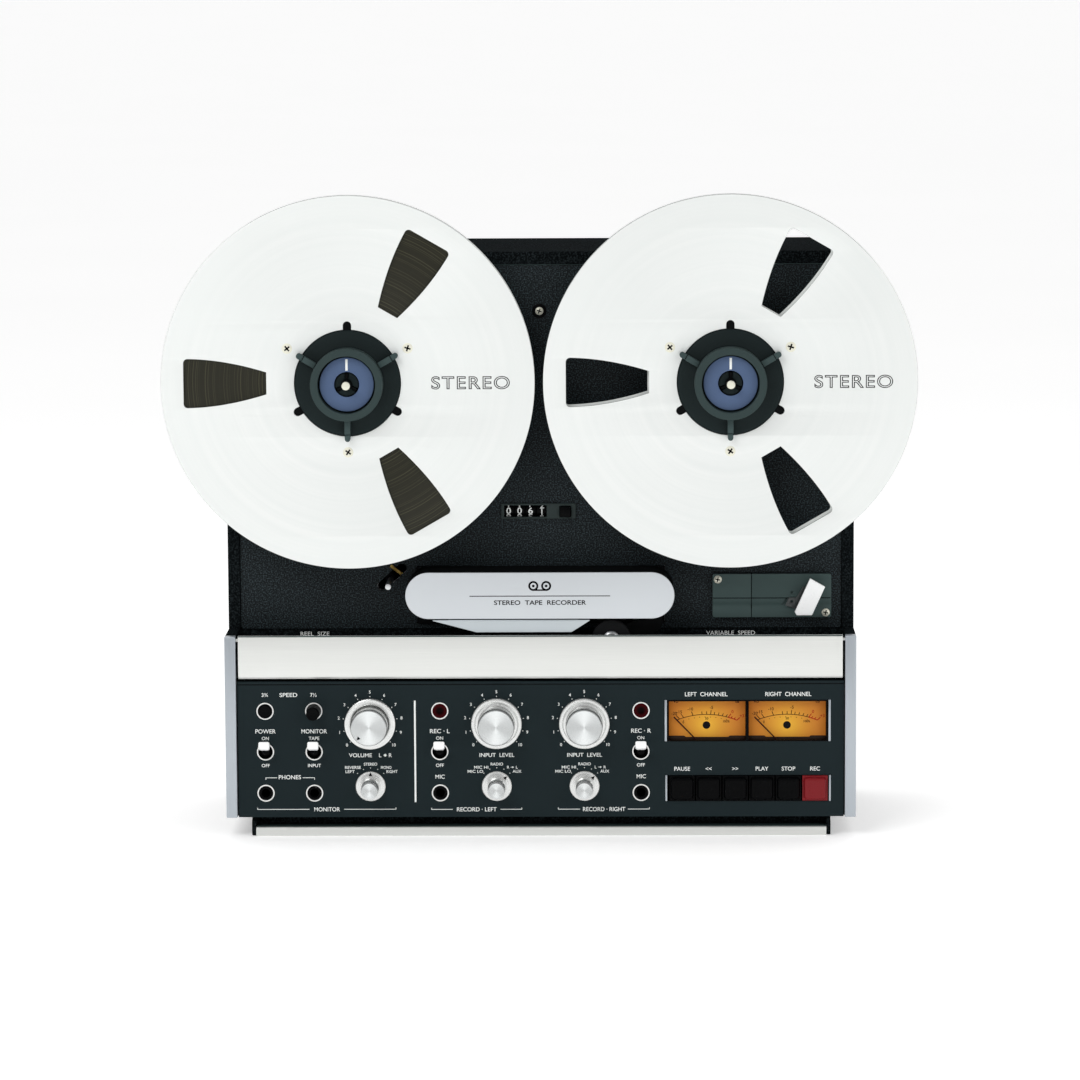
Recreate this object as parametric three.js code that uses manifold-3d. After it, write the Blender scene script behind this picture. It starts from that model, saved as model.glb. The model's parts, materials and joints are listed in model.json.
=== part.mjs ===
// An upright open-reel stereo tape deck, in millimetres: +X to the right as its user sees it, +Z up.
// Inside the deck group Y is the depth behind the front face of the two side trims.
// The exported group moves that depth so that Y = 0 is the middle of the deck. The floor is Z = 0.
import * as THREE from "three";
import { mergeVertices } from "three/addons/utils/BufferGeometryUtils.js";
import Module from "manifold-3d";

const wasm = await Module();
wasm.setup();

// ---- Driving dimensions ----
const GAP = 0.3; // between pieces that touch
const CASE = { half: 226, bottom: 14.4, top: 418.6, wall: 3.5, corner: 5, front: 40, back: 187 };
const RIM = { half: 217.5, bottom: 145.6, top: 409.6, back: 46.5 }; // opening for the deck cover
const LOWER = { top: 146, cheek: 218.3, front: 8.3 }; // control section, in front of the deck
const TROUGH = { floor: 113.2, floorBottom: 109.9, wall: 43 };
const DECK = { front: 42, back: 44.5 };
const CHASSIS = { front: 46.8, back: 50.8, half: 212, bottom: 150, top: 405 };
const PANEL = { front: 3, back: 6, half: 217.5, bottom: 14.4, top: 113.2 };
const TRIM = { inner: 218.3, outer: 226.2, back: 8 };
const BACK_FACE = 189.5; // outside of the rear cover
const KNOB_FACE = -17.5; // the frontmost surface of the deck
const FRONT_TO_MIDDLE = (BACK_FACE + KNOB_FACE) / 2;

const REEL = {
  x: 136.3, z: 327.6, radius: 133.35, front: 7.5, back: 17.5, flange: 1.5,
  hole: 38.1, hub: 57, notchWidth: 5.8, notchTip: 44,
};
const WINDOW = { inner: 58, outer: 117, innerHalf: 7.85, outerHalf: 17.5, bulge: 4.4, corner: 3 };
const WINDOW_ANGLES = [180, 60, -60];
const NOTCH_ANGLES = [90, 210, 330];
const LOCK_ANGLES = [30, 150, 270];
const PACK_RADIUS = 120;
const TAPE = { middle: 12.5, width: 6.3 };
const ADAPTER = { radius: 37.8, face: 6.3, insert: 19.8, insertFront: -8, bore: 9 };
const LOCK = { outer: 25.8, inner: 20.5, front: -9.5, armReach: 41.5, armWidth: 4 };

const CAPSTAN = { x: 58, z: 167, radius: 5 };
const PINCH = { x: 51, z: 142.4, radius: 14, capRadius: 6, front: 8.5, back: 17, pivotX: 82, pivotZ: 153 };
const HEAD_PLATE = { half: 89.5, bottom: 149.5, top: 191, front: 40, back: 46 };
const HEAD_COVER = { half: 96.3, bottom: 158.2, top: 191.6, front: 3, sheet: 2, skirt: 1.8 };
const TENSION = { x: -108.8, z: 180.8, pivotX: -128.9, pivotZ: 203.1, radius: 2 };
const FLAP = { half: 216.5, bottom: 115.3, top: 146.6, front: 0.6, sheet: 2.8, axisDepth: 4, axisZ: 143 };
const STAND = { half: 208.3, pivotDepth: 30, pivotZ: 8, arm: 3, lugInner: 200 };
const REAR_FOOT = { half: 205, front: 150, back: 178 };
const COUNTER = {
  left: -28.2, right: 25.6, bottom: 225.8, top: 236.8, front: 40,
  axisDepth: 51.5, axisZ: 231.2, drumRadius: 7.6, drumsRight: -3.3, unitsLeft: -2.9, unitsRight: 5.1,
  canHalf: 9.8, wellLeft: -26.1, wellRight: 5.6,
};
const SPLICE = { left: 124.2, right: 209.8, bottom: 153.9, top: 185.4, front: 38, corner: 1.3 };

const KNOB_X = [-122.3, -31.5, 31.5];
const KNOB_Z = 82.6;
const SELECTOR_Z = 37;
const SWITCH_X = { power: -197.7, monitor: -162.7, record_left: -72.4, record_right: 72 };
const SWITCH_Z = 62.1;
const SPEED_Z = 91.7;
const JACK_X = [-197.7, -162.7, -72.2, 72.2];
const JACK_Z = 32;
const METER = {
  left: 89, right: 208.2, bottom: 69.1, top: 99.3,
  needleX: [119.2, 177], pivotZ: 61.8, needle: 33.7, needleRest: 44,
};
const KEYS = {
  left: 89.5, right: 208.3, bottom: 25.6, top: 44.6,
  first: 92.45, pitch: 19.07, width: 18.25,
};

// On the wall at the back of the trough.
const SIZE_SWITCH = { x: -167.3, width: 7, z: 127, height: 8.8, front: 36, stem: 3, travel: 6 };
const VARIABLE_SPEED = { x: 137.5, z: 127, radius: 6.5, front: 33 };
const TROUGH_CONTROL = { back: 42.6, stemEnd: 49 };

// In the rear cover. The audio sockets stand in two rows on the bottom of a shallow bay.
const INLET = { x: 170, z: 48, half: 12, halfHeight: 9, floor: 175 };
const SOCKET_BAY = { left: -160, right: -60, bottom: 36, top: 80, floor: 177, wall: 1.5 };
const SOCKET = { xs: [-147.5, -122.5, -97.5, -72.5], zs: [48, 68], radius: 4.2, front: 187.5 };

// ---- Colours ----
const paint = (color, roughness, metalness) =>
  new THREE.MeshStandardMaterial({ color, roughness, metalness });
const LOOK = {
  case: paint(0x101213, 0.6, 0), deck: paint(0x15191b, 0.7, 0.1), panel: paint(0x26302f, 0.5, 0.3),
  silver: paint(0xd6d8d4, 0.35, 0.9), head: paint(0xc8ccd3, 0.4, 0.6), reel: paint(0xe9ece8, 0.35, 0.8),
  adapter: paint(0x2c3836, 0.6, 0), tape: paint(0x3a3226, 0.4, 0), steel: paint(0x9a9c9e, 0.3, 1),
  iron: paint(0x4a4c4e, 0.5, 0.8), chassis: paint(0x9da1a3, 0.45, 0.9), black: paint(0x0b0c0d, 0.4, 0),
  white: paint(0xf2f2f0, 0.4, 0), red: paint(0xb5202c, 0.4, 0), rubber: paint(0x1a1a1a, 0.8, 0),
  meter: paint(0xe09028, 0.5, 0), splice: paint(0x3c4a47, 0.6, 0.2), knob: paint(0xdfe1e2, 0.25, 0.9),
};

// ---- Solids and shapes ----
function solid(geometry) {
  const bare = geometry.clone();
  bare.deleteAttribute("normal");
  bare.deleteAttribute("uv");
  const merged = mergeVertices(bare, 1e-4);
  return new wasm.Manifold(
    new wasm.Mesh({
      numProp: 3,
      vertProperties: merged.attributes.position.array,
      triVerts: new Uint32Array(merged.index.array),
    }),
  );
}

function geometryOf(body) {
  const mesh = body.getMesh();
  return new THREE.BufferGeometry()
    .setAttribute("position", new THREE.BufferAttribute(new Float32Array(mesh.vertProperties), 3))
    .setIndex(new THREE.BufferAttribute(new Uint32Array(mesh.triVerts), 1))
    .toNonIndexed();
}

const union = (first, ...others) => others.reduce((sum, next) => sum.add(next), first);
const cut = (first, ...others) => others.reduce((rest, next) => rest.subtract(next), first);

// A box from its two limits along X, depth and Z.
function box([x0, x1], [d0, d1], [z0, z1]) {
  const shape = new THREE.BoxGeometry(x1 - x0, d1 - d0, z1 - z0);
  return solid(shape.translate((x0 + x1) / 2, (d0 + d1) / 2, (z0 + z1) / 2));
}

// An outline in X and Z, from one depth to another.
function slab(outline, front, back, curveSegments = 4) {
  const options = { depth: back - front, bevelEnabled: false, curveSegments };
  return solid(new THREE.ExtrudeGeometry(outline, options).rotateX(Math.PI / 2).translate(0, back, 0));
}

// A profile of [radius, depth] pairs, turned about the line at x and z.
// The pairs run front to back along the outside, and a ring's run back along the inside and close.
function turned(profile, x = 0, z = 0, sides = 20) {
  const points = profile.map(([radius, depth]) => new THREE.Vector2(radius, depth));
  return solid(new THREE.LatheGeometry(points, sides).translate(x, 0, z));
}

const rod = (radius, front, back, x = 0, z = 0, sides = 16) =>
  turned([[0, front], [radius, front], [radius, back], [0, back]], x, z, sides);
const ring = (inner, outer, front, back, sides) =>
  turned([[inner, front], [outer, front], [outer, back], [inner, back], [inner, front]], 0, 0, sides);

// A rod along X.
function crossRod(radius, x0, x1, depth, z, sides = 12) {
  const shape = new THREE.CylinderGeometry(radius, radius, x1 - x0, sides).rotateZ(Math.PI / 2);
  return solid(shape.translate((x0 + x1) / 2, depth, z));
}

function roundedRectangle(x0, x1, z0, z1, radius) {
  const shape = new THREE.Shape();
  shape.absarc(x1 - radius, z0 + radius, radius, -Math.PI / 2, 0);
  shape.absarc(x1 - radius, z1 - radius, radius, 0, Math.PI / 2);
  shape.absarc(x0 + radius, z1 - radius, radius, Math.PI / 2, Math.PI);
  shape.absarc(x0 + radius, z0 + radius, radius, Math.PI, 1.5 * Math.PI);
  shape.closePath();
  return shape;
}

function polygon(points) {
  return new THREE.Shape(points.map(([x, z]) => new THREE.Vector2(x, z)));
}

// A slot with round ends between two points.
function slot(ax, az, bx, bz, radius) {
  const angle = Math.atan2(bz - az, bx - ax);
  const shape = new THREE.Shape();
  shape.absarc(bx, bz, radius, angle - Math.PI / 2, angle + Math.PI / 2);
  shape.absarc(ax, az, radius, angle + Math.PI / 2, angle + 1.5 * Math.PI);
  shape.closePath();
  return shape;
}

const radians = THREE.MathUtils.degToRad;
const spun = (body, degrees) => solid(geometryOf(body).rotateY(radians(-degrees)));

// ---- Assembly ----
const deck = new THREE.Group();
deck.position.y = -FRONT_TO_MIDDLE;

function add(name, body, material, parent = deck) {
  const mesh = new THREE.Mesh(geometryOf(body), material);
  mesh.name = name;
  parent.add(mesh);
  return mesh;
}

function place(x, depth, z, parent = deck) {
  const group = new THREE.Group();
  group.position.set(x, depth, z);
  parent.add(group);
  return group;
}

// ---- Case, chassis and panels ----
const REEL_X = [-REEL.x, REEL.x];

// The control section's outline, rounded along the floor only.
function lowerOutline() {
  const { half, bottom, corner } = CASE;
  const shape = new THREE.Shape();
  shape.absarc(half - corner, bottom + corner, corner, -Math.PI / 2, 0);
  shape.lineTo(half, LOWER.top);
  shape.lineTo(-half, LOWER.top);
  shape.absarc(-half + corner, bottom + corner, corner, Math.PI, 1.5 * Math.PI);
  shape.closePath();
  return shape;
}

// The lugs under the case that the folding stand turns in.
function standLugs() {
  const { half, arm, lugInner, pivotDepth, pivotZ } = STAND;
  return [-1, 1].map((side) => {
    const [x0, x1] = [side * lugInner, side * (half - arm - GAP)].sort((a, b) => a - b);
    const lug = box([x0, x1], [pivotDepth - 5, pivotDepth + 5], [pivotZ - 4.5, CASE.bottom + 1]);
    return lug.subtract(crossRod(2.2, x0 - 1, x1 + 1, pivotDepth, pivotZ));
  });
}

function caseShell() {
  const outline = roundedRectangle(-CASE.half, CASE.half, CASE.bottom, CASE.top, CASE.corner);
  const upper = slab(outline, CASE.front, CASE.back);
  const lower = slab(lowerOutline(), LOWER.front, CASE.front + 20);
  const { half, front, back } = REAR_FOOT;
  const rearFoot = box([-half, half], [front, back], [0, CASE.bottom + 1]);
  const inside = CASE.half - CASE.wall;
  const floorTop = CASE.bottom + CASE.wall;
  const cavity = box([-inside, inside], [RIM.back, CASE.back + 1], [floorTop, CASE.top - CASE.wall]);
  const deckOpening = box([-RIM.half, RIM.half], [CASE.front - 1, RIM.back + 1], [RIM.bottom, RIM.top]);
  const betweenCheeks = [-LOWER.cheek, LOWER.cheek];
  const behindPanel = box(betweenCheeks, [LOWER.front - 1, RIM.back + 1], [floorTop, TROUGH.floorBottom]);
  const trough = box(betweenCheeks, [LOWER.front - 1, TROUGH.wall], [TROUGH.floor, LOWER.top + 1]);
  const throughWall = [TROUGH.wall - 1, RIM.back + 1];
  const sizeSwitchSlot = box(
    [SIZE_SWITCH.x - SIZE_SWITCH.stem / 2, SIZE_SWITCH.x + SIZE_SWITCH.stem / 2 + SIZE_SWITCH.travel + 0.5],
    throughWall, [SIZE_SWITCH.z - 1.6, SIZE_SWITCH.z + 1.6],
  );
  const speedShaftHole = rod(2.4, ...throughWall, VARIABLE_SPEED.x, VARIABLE_SPEED.z, 12);
  return cut(
    union(upper, lower, rearFoot, ...standLugs()),
    cavity, deckOpening, behindPanel, trough, sizeSwitchSlot, speedShaftHole,
  );
}

// The rear cover carries the vents and the well of the mains inlet with its three contacts.
function rearCover() {
  const front = CASE.back + GAP;
  const plate = slab(roundedRectangle(-225, 225, 15.4, 417.6, 4), front, BACK_FACE);
  const { x: inletX, z: inletZ, half, halfHeight, floor } = INLET;
  const well = (margin, [near, far]) =>
    box(
      [inletX - half - margin, inletX + half + margin], [near, far],
      [inletZ - halfHeight - margin, inletZ + halfHeight + margin],
    );
  const contacts = [[-6.5, -2.5], [0, 3], [6.5, -2.5]].map(([x, z]) =>
    box([inletX + x - 1, inletX + x + 1], [floor - 1, floor + 9], [inletZ + z - 2, inletZ + z + 2]),
  );
  const { left, right, bottom, top, floor: bayFloor, wall } = SOCKET_BAY;
  const bay = (margin, [near, far]) =>
    box([left - margin, right + margin], [near, far], [bottom - margin, top + margin]);
  const sockets = SOCKET.xs.flatMap((x) =>
    SOCKET.zs.map((z) => rod(SOCKET.radius, bayFloor - 0.5, SOCKET.front, x, z, 16)),
  );
  const vents = [];
  for (let row = 0; row < 6; row += 1) {
    for (const side of [-1, 1]) {
      const x = side * 95;
      vents.push(box([x - 62, x + 62], [front - 1, BACK_FACE + 1], [292 + row * 11, 295.2 + row * 11]));
    }
  }
  const shell = union(plate, well(3, [floor - 3, front + 1]), bay(wall, [bayFloor - wall, front + 1]));
  const mouths = [well(0, [floor, BACK_FACE + 1]), bay(0, [bayFloor, BACK_FACE + 1])];
  return union(cut(shell, ...mouths, ...vents), ...contacts, ...sockets);
}

// The tension post moves along this slot.
const tensionSlot = () => slot(-114.3, 177, -100.4, 189.5, 3.6);

// The counter's neck passes the deck cover, and its taller can passes the chassis.
const counterAcross = (margin) => [COUNTER.left + 1 - margin, COUNTER.right - 1 + margin];
const counterNeck = (margin) => [COUNTER.bottom + 1 - margin, COUNTER.top - 1 + margin];
const counterCan = (margin) => [
  COUNTER.axisZ - COUNTER.canHalf - margin, COUNTER.axisZ + COUNTER.canHalf + margin,
];

function deckCover() {
  const outline = roundedRectangle(-RIM.half + GAP, RIM.half - GAP, RIM.bottom + GAP, RIM.top - GAP, 2);
  const headX = [-HEAD_PLATE.half - GAP, HEAD_PLATE.half + GAP];
  const through = [DECK.front - 1, DECK.back + 1];
  return cut(
    slab(outline, DECK.front, DECK.back),
    ...REEL_X.map((x) => rod(14, ...through, x, REEL.z)),
    slab(tensionSlot(), ...through),
    box(headX, through, [HEAD_PLATE.bottom - GAP, HEAD_PLATE.top + GAP]),
    box(counterAcross(GAP), through, counterNeck(GAP)),
  );
}

function chassisPlate() {
  const through = [CHASSIS.front - 1, CHASSIS.back + 1];
  return cut(
    box([-CHASSIS.half, CHASSIS.half], [CHASSIS.front, CHASSIS.back], [CHASSIS.bottom, CHASSIS.top]),
    ...REEL_X.map((x) => rod(9, ...through, x, REEL.z)),
    rod(7, ...through, CAPSTAN.x, CAPSTAN.z),
    rod(2.4, ...through, TENSION.pivotX, TENSION.pivotZ, 12),
    slab(tensionSlot(), ...through),
    box(counterAcross(1), through, counterCan(1)),
  );
}

function controlPanel() {
  const through = [PANEL.front - 1, PANEL.back + 1];
  const plate = box([-PANEL.half, PANEL.half], [PANEL.front, PANEL.back], [PANEL.bottom, PANEL.top]);
  return cut(
    plate,
    ...KNOB_X.map((x) => rod(3.4, ...through, x, KNOB_Z, 12)),
    ...KNOB_X.map((x) => rod(3.4, ...through, x, SELECTOR_Z, 12)),
    ...[SWITCH_X.power, SWITCH_X.monitor].map((x) => rod(5.2, ...through, x, SPEED_Z)),
    ...Object.values(SWITCH_X).map((x) => rod(5.6, ...through, x, SWITCH_Z, 12)),
    ...JACK_X.map((x) => rod(4.6, ...through, x, JACK_Z, 12)),
    box([METER.left, METER.right], through, [METER.bottom, METER.top]),
    box([KEYS.left, KEYS.right], through, [KEYS.bottom, KEYS.top]),
  );
}

// An aluminium strip on the front edge of a cheek, with a blind hole for the flap's pin.
function sideTrim(side) {
  const [x0, x1] = [side * TRIM.inner, side * TRIM.outer].sort((a, b) => a - b);
  const [p0, p1] = [side * (TRIM.inner - 1), side * (TRIM.inner + 3.2)].sort((a, b) => a - b);
  return cut(
    box([x0, x1], [0, TRIM.back], [CASE.bottom, LOWER.top]),
    crossRod(1.5, p0, p1, FLAP.axisDepth, FLAP.axisZ),
  );
}

// ---- Flap and stand ----
function frontFlap() {
  const { half, bottom, top, front, sheet, axisDepth, axisZ } = FLAP;
  return union(
    box([-half, half], [front, front + sheet], [bottom, top]),
    crossRod(2.8, -half, half, axisDepth, axisZ),
    crossRod(1.2, -TRIM.inner - 2.5, TRIM.inner + 2.5, axisDepth, axisZ),
  );
}

// A folding front foot: a strip and a wall between two arms that turn on pins under the case.
function standBar() {
  const inner = STAND.half - STAND.arm;
  const strip = box([-STAND.half + 1, STAND.half - 1], [5, 16.5], [0, 6.8]);
  const wall = box([-STAND.half + 1, STAND.half - 1], [16, 20], [0.2, 13.6]);
  const arms = [-1, 1].map((side) => {
    const [x0, x1] = [side * inner, side * STAND.half].sort((a, b) => a - b);
    const [p0, p1] = [side * (STAND.lugInner + 0.5), side * (inner + 1)].sort((a, b) => a - b);
    return union(
      box([x0, x1], [8, STAND.pivotDepth], [0.2, 13.8]),
      box([x0, x1], [5, 9], [0.2, 9]),
      crossRod(5.8, x0, x1, STAND.pivotDepth, STAND.pivotZ, 20),
      crossRod(1.9, p0, p1, STAND.pivotDepth, STAND.pivotZ),
    );
  });
  return union(strip, wall, ...arms);
}

// ---- Reels, at the origin of their own group ----
function reelWindow() {
  const { inner, outer, innerHalf, outerHalf, bulge, corner } = WINDOW;
  const middle = (inner + outer) / 2;
  const middleHalf = (innerHalf + outerHalf) / 2 + bulge;
  const shape = new THREE.Shape();
  shape.moveTo(inner, -innerHalf);
  shape.quadraticCurveTo(middle, -middleHalf, outer - corner, -outerHalf);
  shape.absarc(outer - corner, -outerHalf + corner, corner, -Math.PI / 2, 0);
  shape.absarc(outer - corner, outerHalf - corner, corner, 0, Math.PI / 2);
  shape.quadraticCurveTo(middle, middleHalf, inner, innerHalf);
  shape.closePath();
  return shape;
}

// The shapes of the three notches in a reel's hole, or of what fits into them with a margin.
function notches(front, back, margin = 0) {
  const half = REEL.notchWidth / 2 - margin;
  const tip = REEL.notchTip - REEL.notchWidth / 2;
  return NOTCH_ANGLES.map((angle) => spun(slab(slot(REEL.hole - 4, 0, tip, 0, half), front, back), angle));
}

function flange(front) {
  const back = front + REEL.flange;
  const through = [front - 1, back + 1];
  const windows = WINDOW_ANGLES.map((angle) => spun(slab(reelWindow(), ...through, 3), angle));
  return cut(ring(REEL.hole, REEL.radius, front, back, 48), ...windows, ...notches(...through));
}

function hubWithRearFlange() {
  const front = REEL.front + REEL.flange + GAP;
  const rearFlange = REEL.back - REEL.flange;
  const hub = cut(ring(REEL.hole, REEL.hub, front, rearFlange + 0.5, 48), ...notches(front - 1, REEL.back));
  return union(hub, flange(rearFlange));
}

function tapePack() {
  const half = TAPE.width / 2;
  return ring(REEL.hub + GAP, PACK_RADIUS, TAPE.middle - half, TAPE.middle + half, 48);
}

// Turntable and shaft, with the three ribs that drive the adapter.
function spindle() {
  const seat = REEL.back + GAP;
  const shaft = turned([
    [0, -15.6], [3, -15.6], [3, -5], [4, -4], [4, seat], [40, seat], [40, 23],
    [14, 26], [12, 40], [5, 40], [5, 88], [0, 88],
  ]);
  const ribs = NOTCH_ANGLES.map((angle) => spun(box([3, 8], [-3, seat + 1], [-1, 1]), angle));
  return union(shaft, ...ribs);
}

// A disc with a stem, and three lugs in the notches of the reel.
function adapter() {
  const { radius, face, insert, insertFront, bore } = ADAPTER;
  const rearFace = REEL.back;
  const disc = turned([
    [bore, insertFront], [insert, insertFront], [insert, face - 1.4], [radius - 2, face],
    [radius, face + 1], [radius, rearFace], [bore, rearFace], [bore, insertFront],
  ], 0, 0, 32);
  return union(disc, ...notches(REEL.front + 0.4, rearFace - 0.4, GAP));
}

function adapterLock() {
  const { outer, inner, front, armReach, armWidth } = LOCK;
  const half = armWidth / 2;
  const arms = LOCK_ANGLES.map((angle) =>
    spun(
      union(
        box([outer - 1.5, REEL.hole + 0.5], [-1, ADAPTER.face - 1.4 - GAP], [-half, half]),
        box([REEL.hole, armReach], [2.5, REEL.front - GAP], [-half, half]),
      ),
      angle,
    ),
  );
  return union(ring(inner, outer, front, ADAPTER.face - 1.4 - GAP, 32), ...arms);
}

function addReel(side, x) {
  const group = place(x, 0, REEL.z);
  add(side + "_spindle", spindle(), LOOK.steel, group);
  add(side + "_reel_hub", hubWithRearFlange(), LOOK.reel, group);
  add(side + "_front_flange", flange(REEL.front), LOOK.reel, group);
  add(side + "_adapter", adapter(), LOOK.adapter, group);
  add(side + "_adapter_lock", adapterLock(), LOOK.adapter, group);
  return group;
}

// ---- Motors and transformer ----
function reelMotor(x) {
  return turned([
    [6.5, 51.2], [55, 51.2], [55, 54], [30, 54], [30, 60], [48, 60], [48, 125],
    [0, 125], [0, 92], [6.5, 92], [6.5, 51.2],
  ], x, REEL.z, 24);
}

function capstanMotor() {
  return turned([
    [6.5, 51.2], [36, 51.2], [36, 56], [41, 58], [41, 132],
    [0, 132], [0, 102], [6.5, 102], [6.5, 51.2],
  ], CAPSTAN.x, CAPSTAN.z, 24);
}

function powerTransformer() {
  return union(
    box([-200, -124], [108, 164], [34, 88]),
    box([-188, -136], [100, 172], [44, 78]),
    box([-206, -118], [112, 160], [18.2, 36]),
  );
}

// ---- Tape path ----
// Base plate, three heads whose faces look down on the tape, and two tape guides.
function headBlock() {
  const { half, bottom, top, front, back } = HEAD_PLATE;
  const head = (x, width) => {
    const shape = polygon([
      [x - width / 2, 187], [x - width / 2, 171], [x - width / 4, 165.5], [x + width / 4, 165.5],
      [x + width / 2, 171], [x + width / 2, 187],
    ]);
    return slab(shape, 8.6, front + 1);
  };
  return cut(
    union(
      box([-half, half], [front, back], [bottom, top]),
      head(-46, 24), head(-12, 20), head(20, 20),
      rod(3.2, 8.6, front + 1, -76, 170, 12),
      rod(3.2, 8.6, front + 1, 80, 172, 12),
    ),
    rod(6.5, front - 1, back + 1, CAPSTAN.x, CAPSTAN.z),
    rod(3.3, front - 1, back + 1, PINCH.pivotX, PINCH.pivotZ, 12),
  );
}

// A pill-shaped face with a skirt along its upper half. The tape enters from below.
function headCover() {
  const { half, bottom, top, front, sheet, skirt } = HEAD_COVER;
  const radius = (top - bottom) / 2;
  const middle = (top + bottom) / 2;
  const outline = slot(-half + radius, middle, half - radius, middle, radius);
  const hollow = slot(-half + radius, middle, half - radius, middle, radius - skirt);
  return cut(
    slab(outline, front, HEAD_PLATE.front - GAP, 8),
    slab(hollow, front + sheet, HEAD_PLATE.front + 1, 8),
    box([-half - 1, half + 1], [front + sheet, HEAD_PLATE.front + 1], [bottom - 1, middle + 4]),
  );
}

function headCoverFlap() {
  const top = HEAD_COVER.bottom - 0.2;
  const shape = polygon([[-79.7, top], [-45.4, 148.5], [22.6, 148.5], [37.4, top]]);
  return slab(shape, HEAD_COVER.front, HEAD_COVER.front + HEAD_COVER.sheet);
}

function pinchArm() {
  const armFront = PINCH.back + 1;
  return union(
    slab(slot(PINCH.x, PINCH.z, PINCH.pivotX, PINCH.pivotZ, 6), armFront, armFront + 5),
    rod(2, PINCH.front + 3, armFront + 1, PINCH.x, PINCH.z, 12),
    rod(3, armFront + 1, HEAD_PLATE.back - 0.5, PINCH.pivotX, PINCH.pivotZ, 12),
  );
}

function pinchRoller() {
  const { radius, capRadius, front, back, x, z } = PINCH;
  return turned([
    [0, front], [capRadius, front], [capRadius, front + 1], [radius, front + 1.5], [radius, back - 0.5],
    [2.3, back - 0.5], [2.3, front + 2.6], [0, front + 2.6],
  ], x, z);
}

const capstanShaft = () => rod(CAPSTAN.radius, 7, 98, CAPSTAN.x, CAPSTAN.z);

function tensionArm() {
  const { x, z, pivotX, pivotZ, radius } = TENSION;
  return union(
    turned([[0, 8], [2.2, 8], [2.2, 9], [radius, 9.5], [radius, 52], [0, 52]], x, z, 12),
    slab(slot(x, z, pivotX, pivotZ, 3.5), CHASSIS.back + GAP, CHASSIS.back + 3),
    rod(2, CHASSIS.front + 0.5, CHASSIS.back + 1, pivotX, pivotZ, 12),
  );
}

// ---- Splicing block with its cutter ----
const CUTTER = { hingeX: 197.6, hingeZ: 176.4, hingeDepth: 33.6, lean: 23, front: 25, back: 28.5 };

// A box across the cutter's hinge line: along and depth are measured from the hinge.
function cutterBox(along, depth, across) {
  const { hingeX, hingeDepth, hingeZ, lean } = CUTTER;
  const shape = geometryOf(box(along, depth, across)).rotateY(radians(lean));
  return solid(shape.translate(hingeX, hingeDepth, hingeZ));
}

function splicePlate() {
  const { left, right, bottom, top, front, corner } = SPLICE;
  const plate = slab(roundedRectangle(left, right, bottom, top, corner), front, DECK.front - GAP);
  const lugs = [-5.8, 3.4].map((start) => cutterBox([start, start + 2.4], [-2, 5], [-2, 2]));
  return union(plate, ...lugs);
}

function cutterLever() {
  const outline = polygon([[184.4, 157], [183, 159.4], [194, 183.8], [204.8, 177.6], [195.4, 157]]);
  const bar = slab(outline, CUTTER.front, CUTTER.back);
  const boss = cutterBox([-3.1, 3.1], [CUTTER.back - CUTTER.hingeDepth - 0.5, 2.2], [-2, 2]);
  return union(bar, boss);
}

// ---- Counter ----
function counterHousing() {
  const { left, right, bottom, top, front, axisDepth, axisZ, drumRadius, wellLeft, wellRight } = COUNTER;
  const back = 70;
  const body = union(
    box([left, right], [front, DECK.front - GAP], [bottom, top]),
    box(counterAcross(0), [front + 1, back - 1], counterNeck(0)),
    box(counterAcross(0), [DECK.back + GAP, back], counterCan(0)),
  );
  const window = box([wellLeft, wellRight], [front - 1, axisDepth], [bottom + 1.1, top - 1.3]);
  const drumWell = crossRod(drumRadius + 0.5, wellLeft, wellRight, axisDepth, axisZ, 24);
  const buttonWell = box([13.9, 22.3], [front - 1, 58], [226.9, 234.9]);
  const drums = crossRod(drumRadius, wellLeft - 0.4, COUNTER.drumsRight, axisDepth, axisZ, 24);
  const axle = crossRod(0.8, COUNTER.drumsRight - 0.5, wellRight + 0.4, axisDepth, axisZ, 8);
  return union(cut(body, window, drumWell, buttonWell), drums, axle);
}

function unitsDrum() {
  const { axisDepth, axisZ, drumRadius, unitsLeft, unitsRight } = COUNTER;
  const drum = crossRod(drumRadius, unitsLeft, unitsRight, axisDepth, axisZ, 24);
  return drum.subtract(crossRod(1.1, unitsLeft - 1, unitsRight + 1, axisDepth, axisZ, 8));
}

const resetButton = () => box([14.2, 22], [36.5, 52], [227.2, 234.6]);

// ---- Controls, each at the origin of its own group on the panel's front face ----
const KNOB = {
  base: 18.2, face: 13, baseFront: -4.5, front: KNOB_FACE - PANEL.front,
  shaft: 3, shaftEnd: 12,
};

const levelKnob = () =>
  turned([
    [0, KNOB.front], [KNOB.face - 0.6, KNOB.front], [KNOB.face, KNOB.front + 0.8],
    [KNOB.face + 0.4, KNOB.baseFront], [KNOB.base - 0.6, KNOB.baseFront], [KNOB.base, KNOB.baseFront + 0.8],
    [KNOB.base, -GAP], [KNOB.shaft, -GAP], [KNOB.shaft, KNOB.shaftEnd], [0, KNOB.shaftEnd],
  ]);

const balanceRing = () =>
  turned([
    [KNOB.face + 1, KNOB.baseFront], [KNOB.base - 0.6, KNOB.baseFront], [KNOB.base, KNOB.baseFront + 0.8],
    [KNOB.base, -GAP], [KNOB.shaft + 0.4, -GAP], [KNOB.shaft + 0.4, -1.6], [KNOB.face + 1, -1.6],
    [KNOB.face + 1, KNOB.baseFront],
  ]);

const volumeKnob = () =>
  turned([
    [0, KNOB.front], [KNOB.face - 0.6, KNOB.front], [KNOB.face, KNOB.front + 0.8], [KNOB.face + 0.4, -2],
    [KNOB.shaft, -2], [KNOB.shaft, KNOB.shaftEnd], [0, KNOB.shaftEnd],
  ]);

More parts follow.
